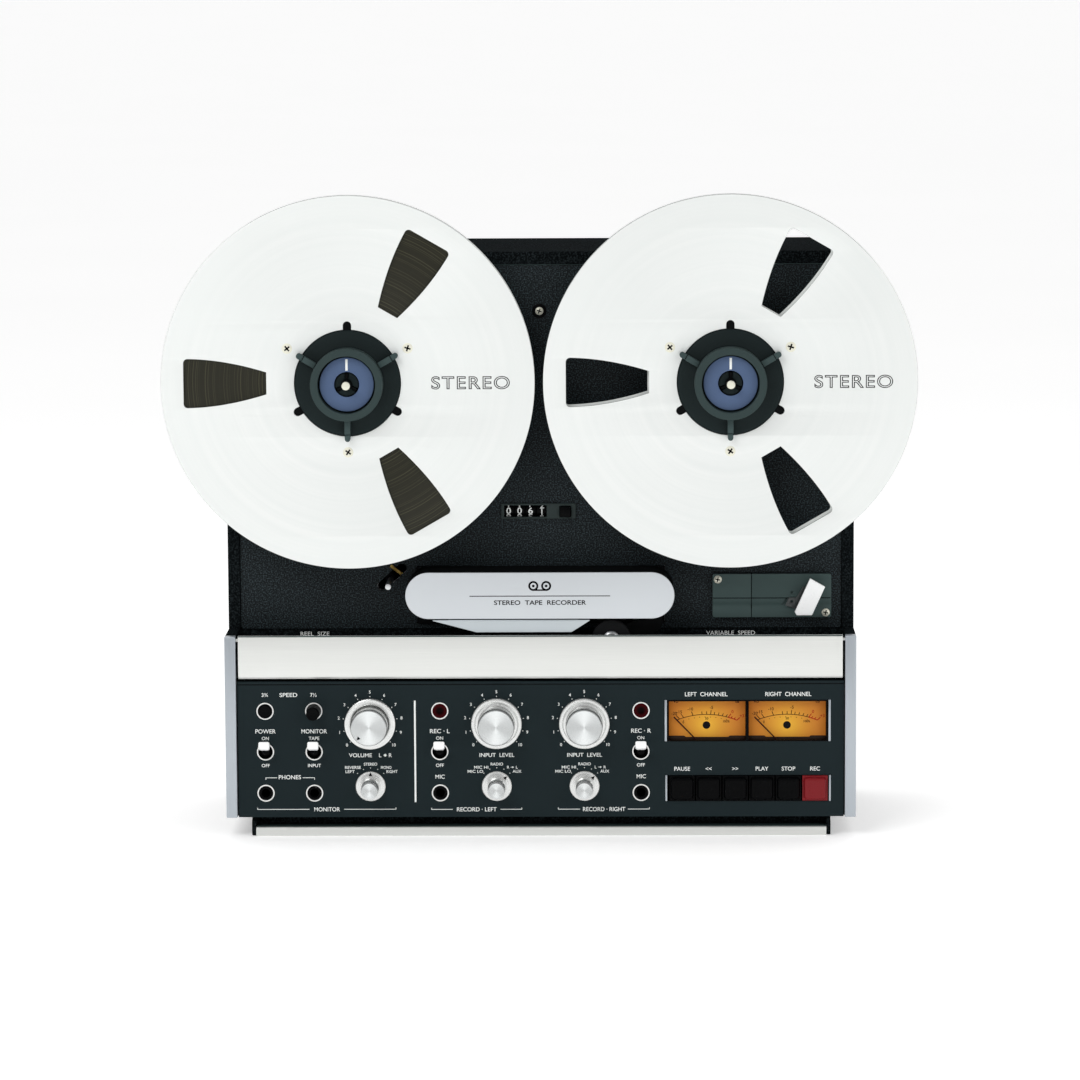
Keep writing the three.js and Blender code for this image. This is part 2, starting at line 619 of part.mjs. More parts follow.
const selectorKnob = () =>
  turned([
    [0, -20.2], [5.7, -20.2], [6.2, -19.6], [6.5, -2.6], [10.4, -2], [10.9, -1.4], [10.9, -GAP],
    [3, -GAP], [3, 12], [0, 12],
  ]);

// A paddle on a stem that turns about X at the origin; at rest its tip stands up.
const toggleLever = () =>
  union(
    box([-4, 4], [-22, -12], [-2.75, 2.75]),
    box([-2.6, 2.6], [-13, 0], [-2, 2]),
    crossRod(3, -2.6, 2.6, 0, 0),
  );

const SPEED_BUTTON = { radius: 4.8, length: 30, travel: 13 };
const speedButton = (front) => rod(SPEED_BUTTON.radius, front, front + SPEED_BUTTON.length);

// A key: a block with a raised square that has sloped sides.
function pianoKey() {
  const half = KEYS.width / 2;
  const raised = new THREE.CylinderGeometry(7.1 * Math.SQRT2, 7.6 * Math.SQRT2, 2.6, 4)
    .rotateY(Math.PI / 4)
    .rotateX(Math.PI / 2)
    .translate(0, -2.2, 0);
  return union(box([-half, half], [-1, 13], [-half, half]), solid(raised));
}

function meterUnit() {
  const back = 28;
  const block = box([METER.left + 1.9, METER.right - 1.9], [PANEL.back + GAP, back], [57, 100]);
  const wells = [[92, 147.4], [149.2, 205]].map((acrossX) => box(acrossX, [PANEL.back, 10.5], [58, 98.8]));
  const bearings = METER.needleX.map((x) => rod(1.1, 10, 15, x, METER.pivotZ, 8));
  return cut(block, ...wells, ...bearings);
}

// A needle with its hub and pin, about the pin at the origin, leaning to the left at rest.
function meterNeedle() {
  const blade = box([-0.45, 0.45], [7.6, 8.3], [0, METER.needle]);
  const hub = rod(2.4, 7.3, 9.6, 0, 0, 12);
  const pin = rod(0.8, 9, 14.5, 0, 0, 8);
  return union(spun(blade, METER.needleRest), hub, pin);
}

function reelSizeSwitch() {
  const { x, width, z, height, front, stem } = SIZE_SWITCH;
  const { back, stemEnd } = TROUGH_CONTROL;
  return union(
    box([x - width / 2, x + width / 2], [front, back], [z - height / 2, z + height / 2]),
    box([x - stem / 2, x + stem / 2], [back - 0.5, stemEnd], [z - 1.3, z + 1.3]),
  );
}

function variableSpeedKnob() {
  const { x, z, radius, front } = VARIABLE_SPEED;
  const { back, stemEnd } = TROUGH_CONTROL;
  return union(rod(radius, front, back, x, z), rod(2, back - 0.5, stemEnd, x, z, 12));
}

// ---- Building the deck ----
add("case_shell", caseShell(), LOOK.case);
add("rear_cover", rearCover(), LOOK.case);
add("chassis_plate", chassisPlate(), LOOK.chassis);
add("deck_cover", deckCover(), LOOK.deck);
add("control_panel", controlPanel(), LOOK.panel);
add("left_side_trim", sideTrim(-1), LOOK.silver);
add("right_side_trim", sideTrim(1), LOOK.silver);
add("front_flap", frontFlap(), LOOK.silver);
add("stand_bar", standBar(), LOOK.silver);

const leftReel = addReel("left", -REEL.x);
addReel("right", REEL.x);
add("left_tape_pack", tapePack(), LOOK.tape, leftReel);

add("left_reel_motor", reelMotor(-REEL.x), LOOK.iron);
add("right_reel_motor", reelMotor(REEL.x), LOOK.iron);
add("capstan_motor", capstanMotor(), LOOK.iron);
add("power_transformer", powerTransformer(), LOOK.iron);

add("head_block", headBlock(), LOOK.chassis);
add("head_cover", headCover(), LOOK.head);
add("head_cover_flap", headCoverFlap(), LOOK.head);
add("capstan_shaft", capstanShaft(), LOOK.steel);
add("pinch_arm", pinchArm(), LOOK.steel);
add("pinch_roller", pinchRoller(), LOOK.rubber);
add("tension_arm", tensionArm(), LOOK.steel);
add("splice_plate", splicePlate(), LOOK.splice);
add("cutter_lever", cutterLever(), LOOK.white);

add("counter_housing", counterHousing(), LOOK.black);
add("counter_units_drum", unitsDrum(), LOOK.black);
add("counter_reset_button", resetButton(), LOOK.black);

const [volumeX, inputLeftX, inputRightX] = KNOB_X;
const volume = place(volumeX, PANEL.front, KNOB_Z);
add("volume_knob", volumeKnob(), LOOK.knob, volume);
add("balance_ring", balanceRing(), LOOK.knob, volume);
add("input_left_knob", levelKnob(), LOOK.knob, place(inputLeftX, PANEL.front, KNOB_Z));
add("input_right_knob", levelKnob(), LOOK.knob, place(inputRightX, PANEL.front, KNOB_Z));
["mode_selector", "input_left_selector", "input_right_selector"].forEach((name, index) => {
  add(name, selectorKnob(), LOOK.knob, place(KNOB_X[index], PANEL.front, SELECTOR_Z));
});

const BUTTON_OUT = -11.5;
const BUTTON_IN = BUTTON_OUT + SPEED_BUTTON.travel;
add("slow_speed_button", speedButton(BUTTON_IN), LOOK.black, place(SWITCH_X.power, 0, SPEED_Z));
add("fast_speed_button", speedButton(BUTTON_OUT), LOOK.black, place(SWITCH_X.monitor, 0, SPEED_Z));

for (const [name, x] of Object.entries(SWITCH_X)) {
  const pivot = place(x, 7.5, SWITCH_Z);
  pivot.rotation.x = radians(-20);
  add(name + "_toggle", toggleLever(), LOOK.white, pivot);
}

["pause", "rewind", "forward", "play", "stop", "record"].forEach((name, index) => {
  const x = KEYS.first + index * KEYS.pitch + KEYS.width / 2;
  const look = name === "record" ? LOOK.red : LOOK.black;
  add(name + "_key", pianoKey(), look, place(x, PANEL.front, (KEYS.bottom + KEYS.top) / 2));
});

add("meter_unit", meterUnit(), LOOK.meter);
["left", "right"].forEach((side, index) => {
  add(side + "_meter_needle", meterNeedle(), LOOK.black, place(METER.needleX[index], 0, METER.pivotZ));
});

add("reel_size_switch", reelSizeSwitch(), LOOK.black);
add("vari_speed_knob", variableSpeedKnob(), LOOK.black);

const part = new THREE.Group();
part.add(deck);
export default part;
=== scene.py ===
import json
import math

import bmesh
import bpy
from mathutils import Matrix, Quaternion, Vector


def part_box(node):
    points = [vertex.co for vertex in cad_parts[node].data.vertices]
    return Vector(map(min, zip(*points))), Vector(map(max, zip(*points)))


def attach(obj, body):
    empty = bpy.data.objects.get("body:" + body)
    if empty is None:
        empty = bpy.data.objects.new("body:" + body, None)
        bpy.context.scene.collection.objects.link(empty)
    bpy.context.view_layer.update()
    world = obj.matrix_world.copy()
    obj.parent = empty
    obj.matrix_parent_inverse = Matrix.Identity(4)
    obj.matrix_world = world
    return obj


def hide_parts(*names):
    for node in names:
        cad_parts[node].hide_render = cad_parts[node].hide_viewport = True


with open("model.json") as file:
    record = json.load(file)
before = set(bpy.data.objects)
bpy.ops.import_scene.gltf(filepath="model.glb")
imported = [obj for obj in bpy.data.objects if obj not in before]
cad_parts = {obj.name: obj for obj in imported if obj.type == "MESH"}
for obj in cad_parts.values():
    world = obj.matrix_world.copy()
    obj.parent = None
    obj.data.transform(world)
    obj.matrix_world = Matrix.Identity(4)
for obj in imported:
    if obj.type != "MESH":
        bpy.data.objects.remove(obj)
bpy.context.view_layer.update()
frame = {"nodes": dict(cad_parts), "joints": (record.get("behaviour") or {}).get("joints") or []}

# Meshes are made in millimetres around their own origin, as the front of the deck is seen:
# X to the right, Y from front to back, Z up. add() puts them into the frame, in metres.
MM = 0.001
SIDES = 128
INK = 0.06  # how far printed markings stand out
INK_SUNK, INK_EDGE = 0.02, 0.015  # how far they reach into their surface, and their bevel
GAP = 0.15  # between pieces that touch
SHARP_ANGLE = 32  # edges that turn more than this are not smoothed


def limits(node):
    low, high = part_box(node)
    return low / MM, high / MM


def middle(node):
    low, high = limits(node)
    return (low + high) / 2


def joint_place(child):
    """Where a body's own joint is, in millimetres."""
    return Vector([j for j in frame["joints"] if j["child"] == child][0]["pos_m"]) / MM


def from_deck_face(depth):
    """The Y of a depth behind the front face of the side trims."""
    return limits("left_side_trim")[0].y + depth


# ---- Outlines, as lists of (x, z) ----
def polar(radius, degrees):
    """A point on a circle, clockwise from straight up."""
    angle = math.radians(degrees)
    return radius * math.sin(angle), radius * math.cos(angle)


def circle(radius, x=0.0, z=0.0, sides=SIDES):
    points = (polar(radius, -360 * i / sides) for i in range(sides))
    return [(x + px, z + pz) for px, pz in points]


def fillet(points, radius, steps=5):
    """A closed outline with rounded corners. The radius may be a list, with one for each corner."""
    radii = radius if isinstance(radius, (list, tuple)) else [radius] * len(points)
    rounded = []
    for index, corner in enumerate(points):
        here = Vector(corner)
        back = Vector(points[index - 1]) - here
        ahead = Vector(points[(index + 1) % len(points)]) - here
        half = back.angle(ahead) / 2
        if radii[index] == 0 or math.tan(half) > 50:
            rounded.append(tuple(here))
            continue
        reach = min(radii[index] / math.tan(half), 0.49 * back.length, 0.49 * ahead.length)
        back.normalize()
        ahead.normalize()
        centre = here + (back + ahead).normalized() * (reach / math.cos(half))
        start, end = here + back * reach - centre, here + ahead * reach - centre
        for step in range(steps + 1):
            rounded.append(tuple(centre + start.slerp(end, step / steps) * start.length))
    return rounded


def rectangle(x0, x1, z0, z1, radius=0.0, steps=5):
    return fillet([(x0, z0), (x1, z0), (x1, z1), (x0, z1)], radius, steps)


def stadium(half, z0, z1):
    """A long pill shape, centred on X = 0."""
    radius, z, sides = (z1 - z0) / 2, (z0 + z1) / 2, 64
    right = [polar(radius, 180 * (1 - i / sides)) for i in range(sides + 1)]
    points = [(half - radius + x, z + dz) for x, dz in right]
    return points + [(-x, 2 * z - pz) for x, pz in points]


def half_circle(radius, z):
    """From left to right over the top of a circle whose middle is at (0, z)."""
    return [(x, z + dz) for x, dz in (polar(radius, a) for a in range(-90, 91, 15))]


def turned_outline(points, degrees):
    """An outline turned clockwise about the origin."""
    c, s = math.cos(math.radians(degrees)), math.sin(math.radians(degrees))
    return [(x * c + z * s, z * c - x * s) for x, z in points]


# ---- Meshes ----
def from_mesh(data):
    bm = bmesh.new()
    bm.from_mesh(data)
    bpy.data.meshes.remove(data)
    return bm


def from_curve(curve, matrix):
    item = bpy.data.objects.new("shape", curve)
    data = bpy.data.meshes.new_from_object(item)
    bpy.data.objects.remove(item)
    bm = from_mesh(data)
    bmesh.ops.remove_doubles(bm, verts=bm.verts, dist=1e-4)
    bmesh.ops.transform(bm, matrix=matrix, verts=bm.verts)
    return bm


def plate(outlines, front, back, edge=0.15, rounds=1):
    """A plate with rounded edges. The first outline is its rim, and the others are holes."""
    curve = bpy.data.curves.new("plate", "CURVE")
    curve.dimensions = "2D"
    curve.fill_mode = "BOTH"
    for outline in outlines:
        spline = curve.splines.new("POLY")
        spline.points.add(len(outline) - 1)
        for point, (x, z) in zip(spline.points, outline):
            point.co = (x, z, 0, 1)
        spline.use_cyclic_u = True
    curve.extrude = (back - front) / 2 - edge
    curve.bevel_depth = edge
    curve.bevel_resolution = rounds
    curve.offset = -edge
    upright = Matrix.Rotation(math.pi / 2, 4, "X")
    return from_curve(curve, Matrix.Translation((0, (front + back) / 2, 0)) @ upright)


def bar(outline, x0, x1, edge=0.15):
    """An outline of (depth, z) points, from x0 to x1."""
    bm = plate([outline], -x1, -x0, edge)
    bmesh.ops.rotate(bm, matrix=Matrix.Rotation(math.pi / 2, 3, "Z"), verts=bm.verts)
    return bm


def turned(profile, sides=SIDES, closed=False):
    """(radius, depth) points turned about the Y axis."""
    bm = bmesh.new()
    rings = []
    for radius, depth in profile:
        around = [(0, 0)] if radius < 1e-6 else circle(radius, sides=sides)
        rings.append([bm.verts.new((x, depth, z)) for x, z in around])
    following = rings[1:] + rings[:1] if closed else rings[1:]
    for one, other in zip(rings, following):
        if len(one) == len(other) == 1:
            continue
        for i in range(sides):
            corners = [one[i % len(one)], one[(i + 1) % len(one)]]
            corners += [other[(i + 1) % len(other)], other[i % len(other)]]
            bm.faces.new(list(dict.fromkeys(corners)))
    bmesh.ops.recalc_face_normals(bm, faces=bm.faces)
    return bm


def round_profile(points, radius, steps=3):
    """A turned profile from the axis to the axis, with its corners rounded."""
    radii = [0] + [radius] * (len(points) - 2) + [0]
    rounded = fillet(points, radii, steps)
    return [(max(0.0, r), depth) for r, depth in rounded]


def ring(inner, outer, front, back, edge=0.15, sides=SIDES):
    profile = [(inner, front), (outer, front), (outer, back), (inner, back)]
    return turned(fillet(profile, edge, 3), sides, closed=True)


def disc(radius, front, back, edge, sides=64):
    return turned(round_profile([(0, front), (radius, front), (radius, back), (0, back)], edge), sides)


def box(x, y, z, edge=0.2, steps=2):
    """A box between two limits along each axis, with rounded edges."""
    bm = bmesh.new()
    bmesh.ops.create_cube(bm, size=1)
    size = Vector((x[1] - x[0], y[1] - y[0], z[1] - z[0]))
    place = Vector((x[1] + x[0], y[1] + y[0], z[1] + z[0])) / 2
    matrix = Matrix.Translation(place) @ Matrix.Diagonal((*size, 1))
    bmesh.ops.transform(bm, matrix=matrix, verts=bm.verts)
    if edge:
        bmesh.ops.bevel(bm, geom=bm.edges[:], offset=edge, segments=steps, profile=0.5, affect="EDGES")
    return bm


def box_of(node, edge):
    """A box between a node's own limits."""
    return box(*zip(*limits(node)), edge, 3)


def loft(sections):
    """Closed loops of (x, y, z) points, each with as many points, joined and capped."""
    bm = bmesh.new()
    loops = [[bm.verts.new(point) for point in section] for section in sections]
    count = len(loops[0])
    for one, other in zip(loops, loops[1:]):
        for i in range(count):
            bm.faces.new((one[i], one[(i + 1) % count], other[(i + 1) % count], other[i]))
    bm.faces.new(loops[0])
    bm.faces.new(loops[-1])
    bmesh.ops.recalc_face_normals(bm, faces=bm.faces)
    return bm


def moved(bm, x=0.0, y=0.0, z=0.0):
    bmesh.ops.translate(bm, vec=(x, y, z), verts=bm.verts)
    return bm


def rotated(bm, degrees, axis="Y", centre=(0, 0, 0)):
    """Turns a mesh. About Y, a positive angle is clockwise as the front is seen."""
    turn = Matrix.Rotation(math.radians(degrees), 3, axis)
    bmesh.ops.rotate(bm, cent=centre, matrix=turn, verts=bm.verts)
    return bm


def joined(*parts):
    whole = parts[0]
    for part in parts[1:]:
        data = bpy.data.meshes.new("part")
        part.to_mesh(data)
        part.free()
        whole.from_mesh(data)
        bpy.data.meshes.remove(data)
    return whole


def combined(bm, others, operation):
    """The mesh after an exact boolean operation with each of the others in turn."""
    for other in others:
        items = []
        for source in (bm, other):
            data = bpy.data.meshes.new("operand")
            source.to_mesh(data)
            source.free()
            item = bpy.data.objects.new("operand", data)
            bpy.context.scene.collection.objects.link(item)
            items.append(item)
        modifier = items[0].modifiers.new("combine", "BOOLEAN")
        modifier.operation = operation
        modifier.solver = "EXACT"
        modifier.object = items[1]
        graph = bpy.context.evaluated_depsgraph_get()
        bm = from_mesh(bpy.data.meshes.new_from_object(items[0].evaluated_get(graph)))
        for item in items:
            bpy.data.meshes.remove(item.data)
    return bm


def carved(bm, *cutters):
    return combined(bm, cutters, "DIFFERENCE")


def add(name, bm, material, body="root", at=(0, 0, 0), replaces=()):
    """Puts a mesh into the frame as a piece that rides on a body. at is in millimetres."""
    bmesh.ops.scale(bm, vec=(MM, MM, MM), verts=bm.verts)
    data = bpy.data.meshes.new(name)
    bm.to_mesh(data)
    bm.free()
    data.materials.append(material)
    data.shade_smooth()
    data.set_sharp_from_angle(angle=math.radians(SHARP_ANGLE))
    item = bpy.data.objects.new(name, data)
    bpy.context.scene.collection.objects.link(item)
    item.location = Vector(at) * MM
    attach(item, body)
    if replaces:
        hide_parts(*replaces)


# ---- Printed markings ----
def cap_share():
    """How much of a text's size its capitals are high."""
    curve = bpy.data.curves.new("cap", "FONT")
    curve.body = "H"
    bm = from_curve(curve, Matrix.Identity(4))
    heights = [v.co.y for v in bm.verts]
    bm.free()
    return max(heights) - min(heights)


CAP_SHARE = cap_share()


class Markings:
    """Flat printed shapes on one plane, which become one piece."""

    def __init__(self, depth):
        self.depth = depth
        self.parts = []

    def shape(self, outlines):
        self.parts.append(plate(outlines, self.depth - INK, self.depth + INK_SUNK, INK_EDGE, 0))

    def line(self, x0, z0, x1, z1, width):
        along = Vector((x1 - x0, z1 - z0)).normalized() * width / 2
        across = Vector((-along.y, along.x))
        start, end = Vector((x0, z0)), Vector((x1, z1))
        corners = [start - across, end - across, end + across, start + across]
        self.shape([[tuple(c) for c in corners]])

    def dot(self, x, z, radius=0.35):
        self.shape([circle(radius, x, z, 12)])

    def ring(self, x, z, inner, outer):
        self.shape([circle(outer, x, z, 64), circle(inner, x, z, 64)])

    def text(self, words, x, z, cap, width=None, align="CENTER", weight=0.03):
        """Letters whose baseline middle, left or right end is at x, centred in height on z."""
        curve = bpy.data.curves.new("letters", "FONT")
        curve.body = words
        curve.size = cap / CAP_SHARE
        curve.align_x = align
        curve.extrude = INK / 2 + 0.01
        curve.offset = weight
        bm = from_curve(curve, Matrix.Rotation(math.pi / 2, 4, "X"))
        places = [v.co.x for v in bm.verts]
        scale = width / (max(places) - min(places)) if width else 1
        bmesh.ops.scale(bm, vec=(scale, 1, 1), verts=bm.verts)
        self.parts.append(moved(bm, x, self.depth - INK / 2 + 0.01, z - cap / 2))

    def bracket(self, x0, x1, z, gap, tick, width=0.42):
        """A line with its ends turned up or down, and a gap in it for its label."""
        self.line(x0, z, gap[0], z, width)
        self.line(gap[1], z, x1, z, width)
        for x in (x0, x1):
            self.line(x, z - math.copysign(width / 2, tick), x, z + tick, width)

    def add(self, name, material, slot):
        add(name, joined(*self.parts), material)


# ---- Materials ----
class Look:
    """A procedural material: a Principled shader that varies over the surface."""

    def __init__(self, name, roughness=0.5, metallic=0.0, specular=0.5, anisotropic=0.0):
        self.material = bpy.data.materials.new(name)
        self.material.use_nodes = True
        self.nodes = self.material.node_tree.nodes
        self.links = self.material.node_tree.links
        self.shader = self.nodes["Principled BSDF"]
        self.set("Roughness", roughness)
        self.set("Metallic", metallic)
        self.set("Specular IOR Level", specular)
        self.set("Anisotropic", anisotropic)

    def set(self, socket, value):
        if isinstance(value, bpy.types.NodeSocket):
            self.links.new(value, self.shader.inputs[socket])
        else:
            self.shader.inputs[socket].default_value = value

    def node(self, kind, *inputs, **settings):
        made = self.nodes.new(kind)
        for key, value in settings.items():
            setattr(made, key, value)
        for socket, value in zip(made.inputs, inputs):
            if isinstance(value, bpy.types.NodeSocket):
                self.links.new(value, socket)
            elif value is not None:
                socket.default_value = value
        return made

    def place(self, stretch=(1, 1, 1)):
        """The point on the piece, in metres along each axis, stretched."""
        where = self.node("ShaderNodeTexCoord").outputs["Object"]
        scaled = self.node("ShaderNodeVectorMath", where, Vector(stretch), operation="MULTIPLY")
        return scaled.outputs[0]

    def noise(self, scale, detail, rough=0.5, stretch=(1, 1, 1), at=None):
        made = self.nodes.new("ShaderNodeTexNoise")
        made.inputs["Scale"].default_value = scale
        made.inputs["Detail"].default_value = detail
        made.inputs["Roughness"].default_value = rough
        self.links.new(at or self.place(stretch), made.inputs["Vector"])
        return made.outputs["Fac"]

    def radius(self):
        """The distance from the piece's own Y axis, in metres."""
        length = self.node("ShaderNodeVectorMath", self.place((1, 0, 1)), operation="LENGTH")
        return length.outputs["Value"]

    def grooves(self, pitch, detail=3.0):
        """Noise in rings round the Y axis, with rings about one pitch wide."""
        along = self.node("ShaderNodeCombineXYZ", self.radius())
        return self.noise(1 / pitch, detail, at=along.outputs[0])

    def fit(self, value, low, high, to_low=0.0, to_high=1.0):
        made = self.node("ShaderNodeMapRange", value, low, high, to_low, to_high)
        return made.outputs[0]

    def mix(self, factor, first, second):
        made = self.nodes.new("ShaderNodeMix")
        made.data_type = "RGBA"
        self.links.new(factor, made.inputs["Factor"])
        for socket, color in (("A", first), ("B", second)):
            target = [s for s in made.inputs if s.name == socket and s.type == "RGBA"][0]
            if isinstance(color, bpy.types.NodeSocket):
                self.links.new(color, target)
            else:
                target.default_value = (*color, 1)
        return [s for s in made.outputs if s.type == "RGBA"][0]

    def color(self, factor, first, second):
        self.set("Base Color", self.mix(factor, first, second))

    def vary_roughness(self, factor, low, high):
        self.set("Roughness", self.fit(factor, 0.3, 0.7, low, high))

    def bump(self, height, strength, distance):
        made = self.nodes.new("ShaderNodeBump")
        made.inputs["Strength"].default_value = strength
        made.inputs["Distance"].default_value = distance
        self.links.new(height, made.inputs["Height"])
        self.set("Normal", made.outputs["Normal"])


def shade(color, factor):
    return tuple(c * factor for c in color)


def moulded(name, color, roughness, grain=0.0006, depth=0.00006, specular=0.4, strength=0.5):
    """Plastic with a fine moulded grain."""
    look = Look(name, roughness, specular=specular)
    cloud = look.noise(14, 2)
    fine = look.noise(1 / grain, 3)
    look.color(cloud, shade(color, 0.82), shade(color, 1.18))
    look.vary_roughness(fine, roughness - 0.06, roughness + 0.08)
    look.bump(fine, strength, depth)
    return look.material


def crackle(name, low, high, speck_color, scale=1000, specular=0.12, roughness=0.5):
    """Black paint or vinyl with a coarse sparkling grain."""
    look = Look(name, roughness, specular=specular)
    coarse = look.noise(0.7 * scale, 4, 0.65)
    fine = look.noise(scale, 2, 0.6)
    speck = look.fit(fine, 0.47, 0.64)
    dark = look.mix(look.noise(9, 2), low, high)
    look.color(speck, dark, speck_color)
    look.vary_roughness(coarse, roughness - 0.12, roughness + 0.12)
    look.bump(coarse, 0.9, 0.0003)
    return look.material


def satin(name, color, metallic, roughness, specular=0.4, grain=0.00035):
    """Smooth sprayed or anodised metal with a slight orange peel."""
    look = Look(name, roughness, metallic, specular)
    peel = look.noise(1 / grain, 2)
    look.color(look.noise(7, 3), shade(color, 0.92), shade(color, 1.08))
    look.vary_roughness(peel, roughness - 0.05, roughness + 0.06)
    look.bump(peel, 0.22, 0.00003)
    return look.material


def brushed(name, color, along, metallic, roughness=0.34):
    """Metal brushed along one axis."""
    stretch = [1.0, 1.0, 1.0]
    stretch["XYZ".index(along)] = 0.012
    look = Look(name, roughness, metallic, anisotropic=0.45)
    strokes = look.noise(2600, 3, 0.6, stretch)
    broad = look.noise(260, 3, 0.6, stretch)
    streaks = look.mix(look.fit(broad, 0.3, 0.7), shade(color, 0.965), shade(color, 1.02))
    look.color(look.fit(strokes, 0.25, 0.75), shade(color, 0.93), streaks)
    look.vary_roughness(strokes, roughness - 0.06, roughness + 0.1)
    look.bump(strokes, 0.14, 0.00002)
    return look.material


def spun(name, color, roughness, metallic=0.95, anisotropic=0.2, painted_highlight=0.0):
    """Metal turned on a lathe, about its own Y axis. The last argument is how strongly a painted
    highlight, lighter and darker lobes round the axis, changes its tone.
    """
    look = Look(name, roughness, metallic, anisotropic=anisotropic)
    tangent = look.node("ShaderNodeTangent", direction_type="RADIAL", axis="Y")
    look.set("Tangent", tangent.outputs[0])
    lines = look.grooves(0.00022)
    # Painted highlight: the tone grows lighter and darker twice round the axis, in place of the bow-tie
    # sheen of spun metal.
    x, _, z = look.node("ShaderNodeSeparateXYZ", look.place()).outputs
    angle = look.node("ShaderNodeMath", x, z, operation="ARCTAN2").outputs[0]
    twice = look.node("ShaderNodeMath", angle, 2.0, operation="MULTIPLY").outputs[0]
    highlight_lobes = look.node("ShaderNodeMath", twice, operation="COSINE").outputs[0]
    tone = look.mix(look.fit(highlight_lobes, -0.6, 1.0), shade(color, 1 - painted_highlight), shade(color, 1 + painted_highlight))
    look.color(look.fit(lines, 0.3, 0.7), shade(color, 0.9), tone)
    look.vary_roughness(lines, roughness - 0.05, roughness + 0.08)
    look.bump(lines, 0.3, 0.00001)
    return look.material


def reel_metal():
    """Fine circular brushing under a clear anodised film, almost white, with painted shade on the faces
    that do not face the front or back.
    """
    look = Look("reel_metal", 0.5, 0.3, 0.35, anisotropic=0.3)
    tangent = look.node("ShaderNodeTangent", direction_type="RADIAL", axis="Y")
    look.set("Tangent", tangent.outputs[0])
    lines = look.grooves(0.0004)
    wide = look.grooves(0.006, 2)
    cloud = look.noise(9, 3)
    tone = look.mix(look.fit(wide, 0.3, 0.7), (0.76, 0.785, 0.77), (0.82, 0.835, 0.82))
    face = look.mix(look.fit(cloud, 0.2, 0.8), (0.78, 0.805, 0.79), tone)
    # Painted shade: faces that turn away from the front and back, such as the edges of the windows and
    # rims, are painted dark grey.
    normal = look.node("ShaderNodeNewGeometry").outputs["Normal"]
    facing = look.node("ShaderNodeSeparateXYZ", normal).outputs["Y"]
    painted_edge_shade = look.node("ShaderNodeMath", facing, operation="ABSOLUTE").outputs[0]
    look.color(look.fit(painted_edge_shade, 0.4, 0.97), (0.11, 0.12, 0.11), face)
    look.vary_roughness(lines, 0.42, 0.56)
    look.bump(lines, 0.12, 0.00001)
    return look.material


def wound_tape():
    """The edges of wound tape: fine rings, a few of them standing out."""
    look = Look("wound_tape", 0.38, 0.0, 0.25)
    fine = look.grooves(0.00035, 2)
    proud = look.fit(look.grooves(0.0011, 4), 0.52, 0.75)
    base = look.mix(fine, (0.008, 0.0076, 0.0036), (0.02, 0.0192, 0.0095))
    look.color(proud, base, (0.078, 0.074, 0.04))
    look.vary_roughness(fine, 0.3, 0.5)
    look.bump(fine, 0.6, 0.00008)
    return look.material


def lit_dial():
    """A meter dial lit from behind: yellow round its middle, orange at its ends."""
    look = Look("lit_dial", 0.55, specular=0.2)
    distance = look.radius()
    glow = look.mix(look.fit(distance, 0.0, 0.03), (0.62, 0.33, 0.03), (0.36, 0.1, 0.012))
    tone = look.mix(look.noise(60, 3), glow, (0.45, 0.15, 0.018))
    blend = look.mix(look.fit(distance, 0.004, 0.02), glow, tone)
    look.set("Base Color", blend)
    look.set("Emission Color", blend)
    look.set("Emission Strength", 0.3)
    return look.material


def lamp_lens():
    look = Look("lamp_lens", 0.3, specular=0.04)
    rim = look.fit(look.radius(), 0.0018, 0.0044)
    look.color(rim, (0.0035, 0.0002, 0.0004), (0.042, 0.0008, 0.002))
    look.bump(look.noise(700, 1), 0.2, 0.00003)
    return look.material


def ink(name, color):
    look = Look(name, 0.6, specular=0.08)
    look.color(look.noise(500, 2), shade(color, 0.86), color)
    return look.material


def floor_paint():
    look = Look("floor_paint", 0.75, specular=0.1)
    look.color(look.noise(1.5, 2), (0.9, 0.9, 0.9), (0.94, 0.94, 0.94))
    look.set("Emission Color", (1, 1, 1, 1))
    look.set("Emission Strength", 0.36)
    return look.material


CASE = crackle("case_black", (0.002, 0.0026, 0.003), (0.004, 0.0052, 0.0057), (0.016, 0.021, 0.023),
               800, 0.002, 0.9)
DECK = crackle("deck_black", (0.0022, 0.0033, 0.004), (0.0045, 0.0068, 0.0078), (0.034, 0.05, 0.057))
PANEL = satin("panel_green", (0.0088, 0.0166, 0.0192), 0.0, 0.46, 0.1)
SILVER_X = brushed("silver_brushed_across", (0.745, 0.755, 0.73), "X", 0.7)
SILVER_Z = brushed("silver_brushed_upright", (0.46, 0.5, 0.54), "Z", 0.5)
HEAD_SILVER = satin("head_silver", (0.59, 0.62, 0.645), 0.4, 0.42)
# Painted shade: a darker copy of the head cover's silver, for the lower flap.
HEAD_FLAP_SHADED = satin("head_flap_shaded_silver", (0.49, 0.535, 0.56), 0.4, 0.42)
REEL = reel_metal()
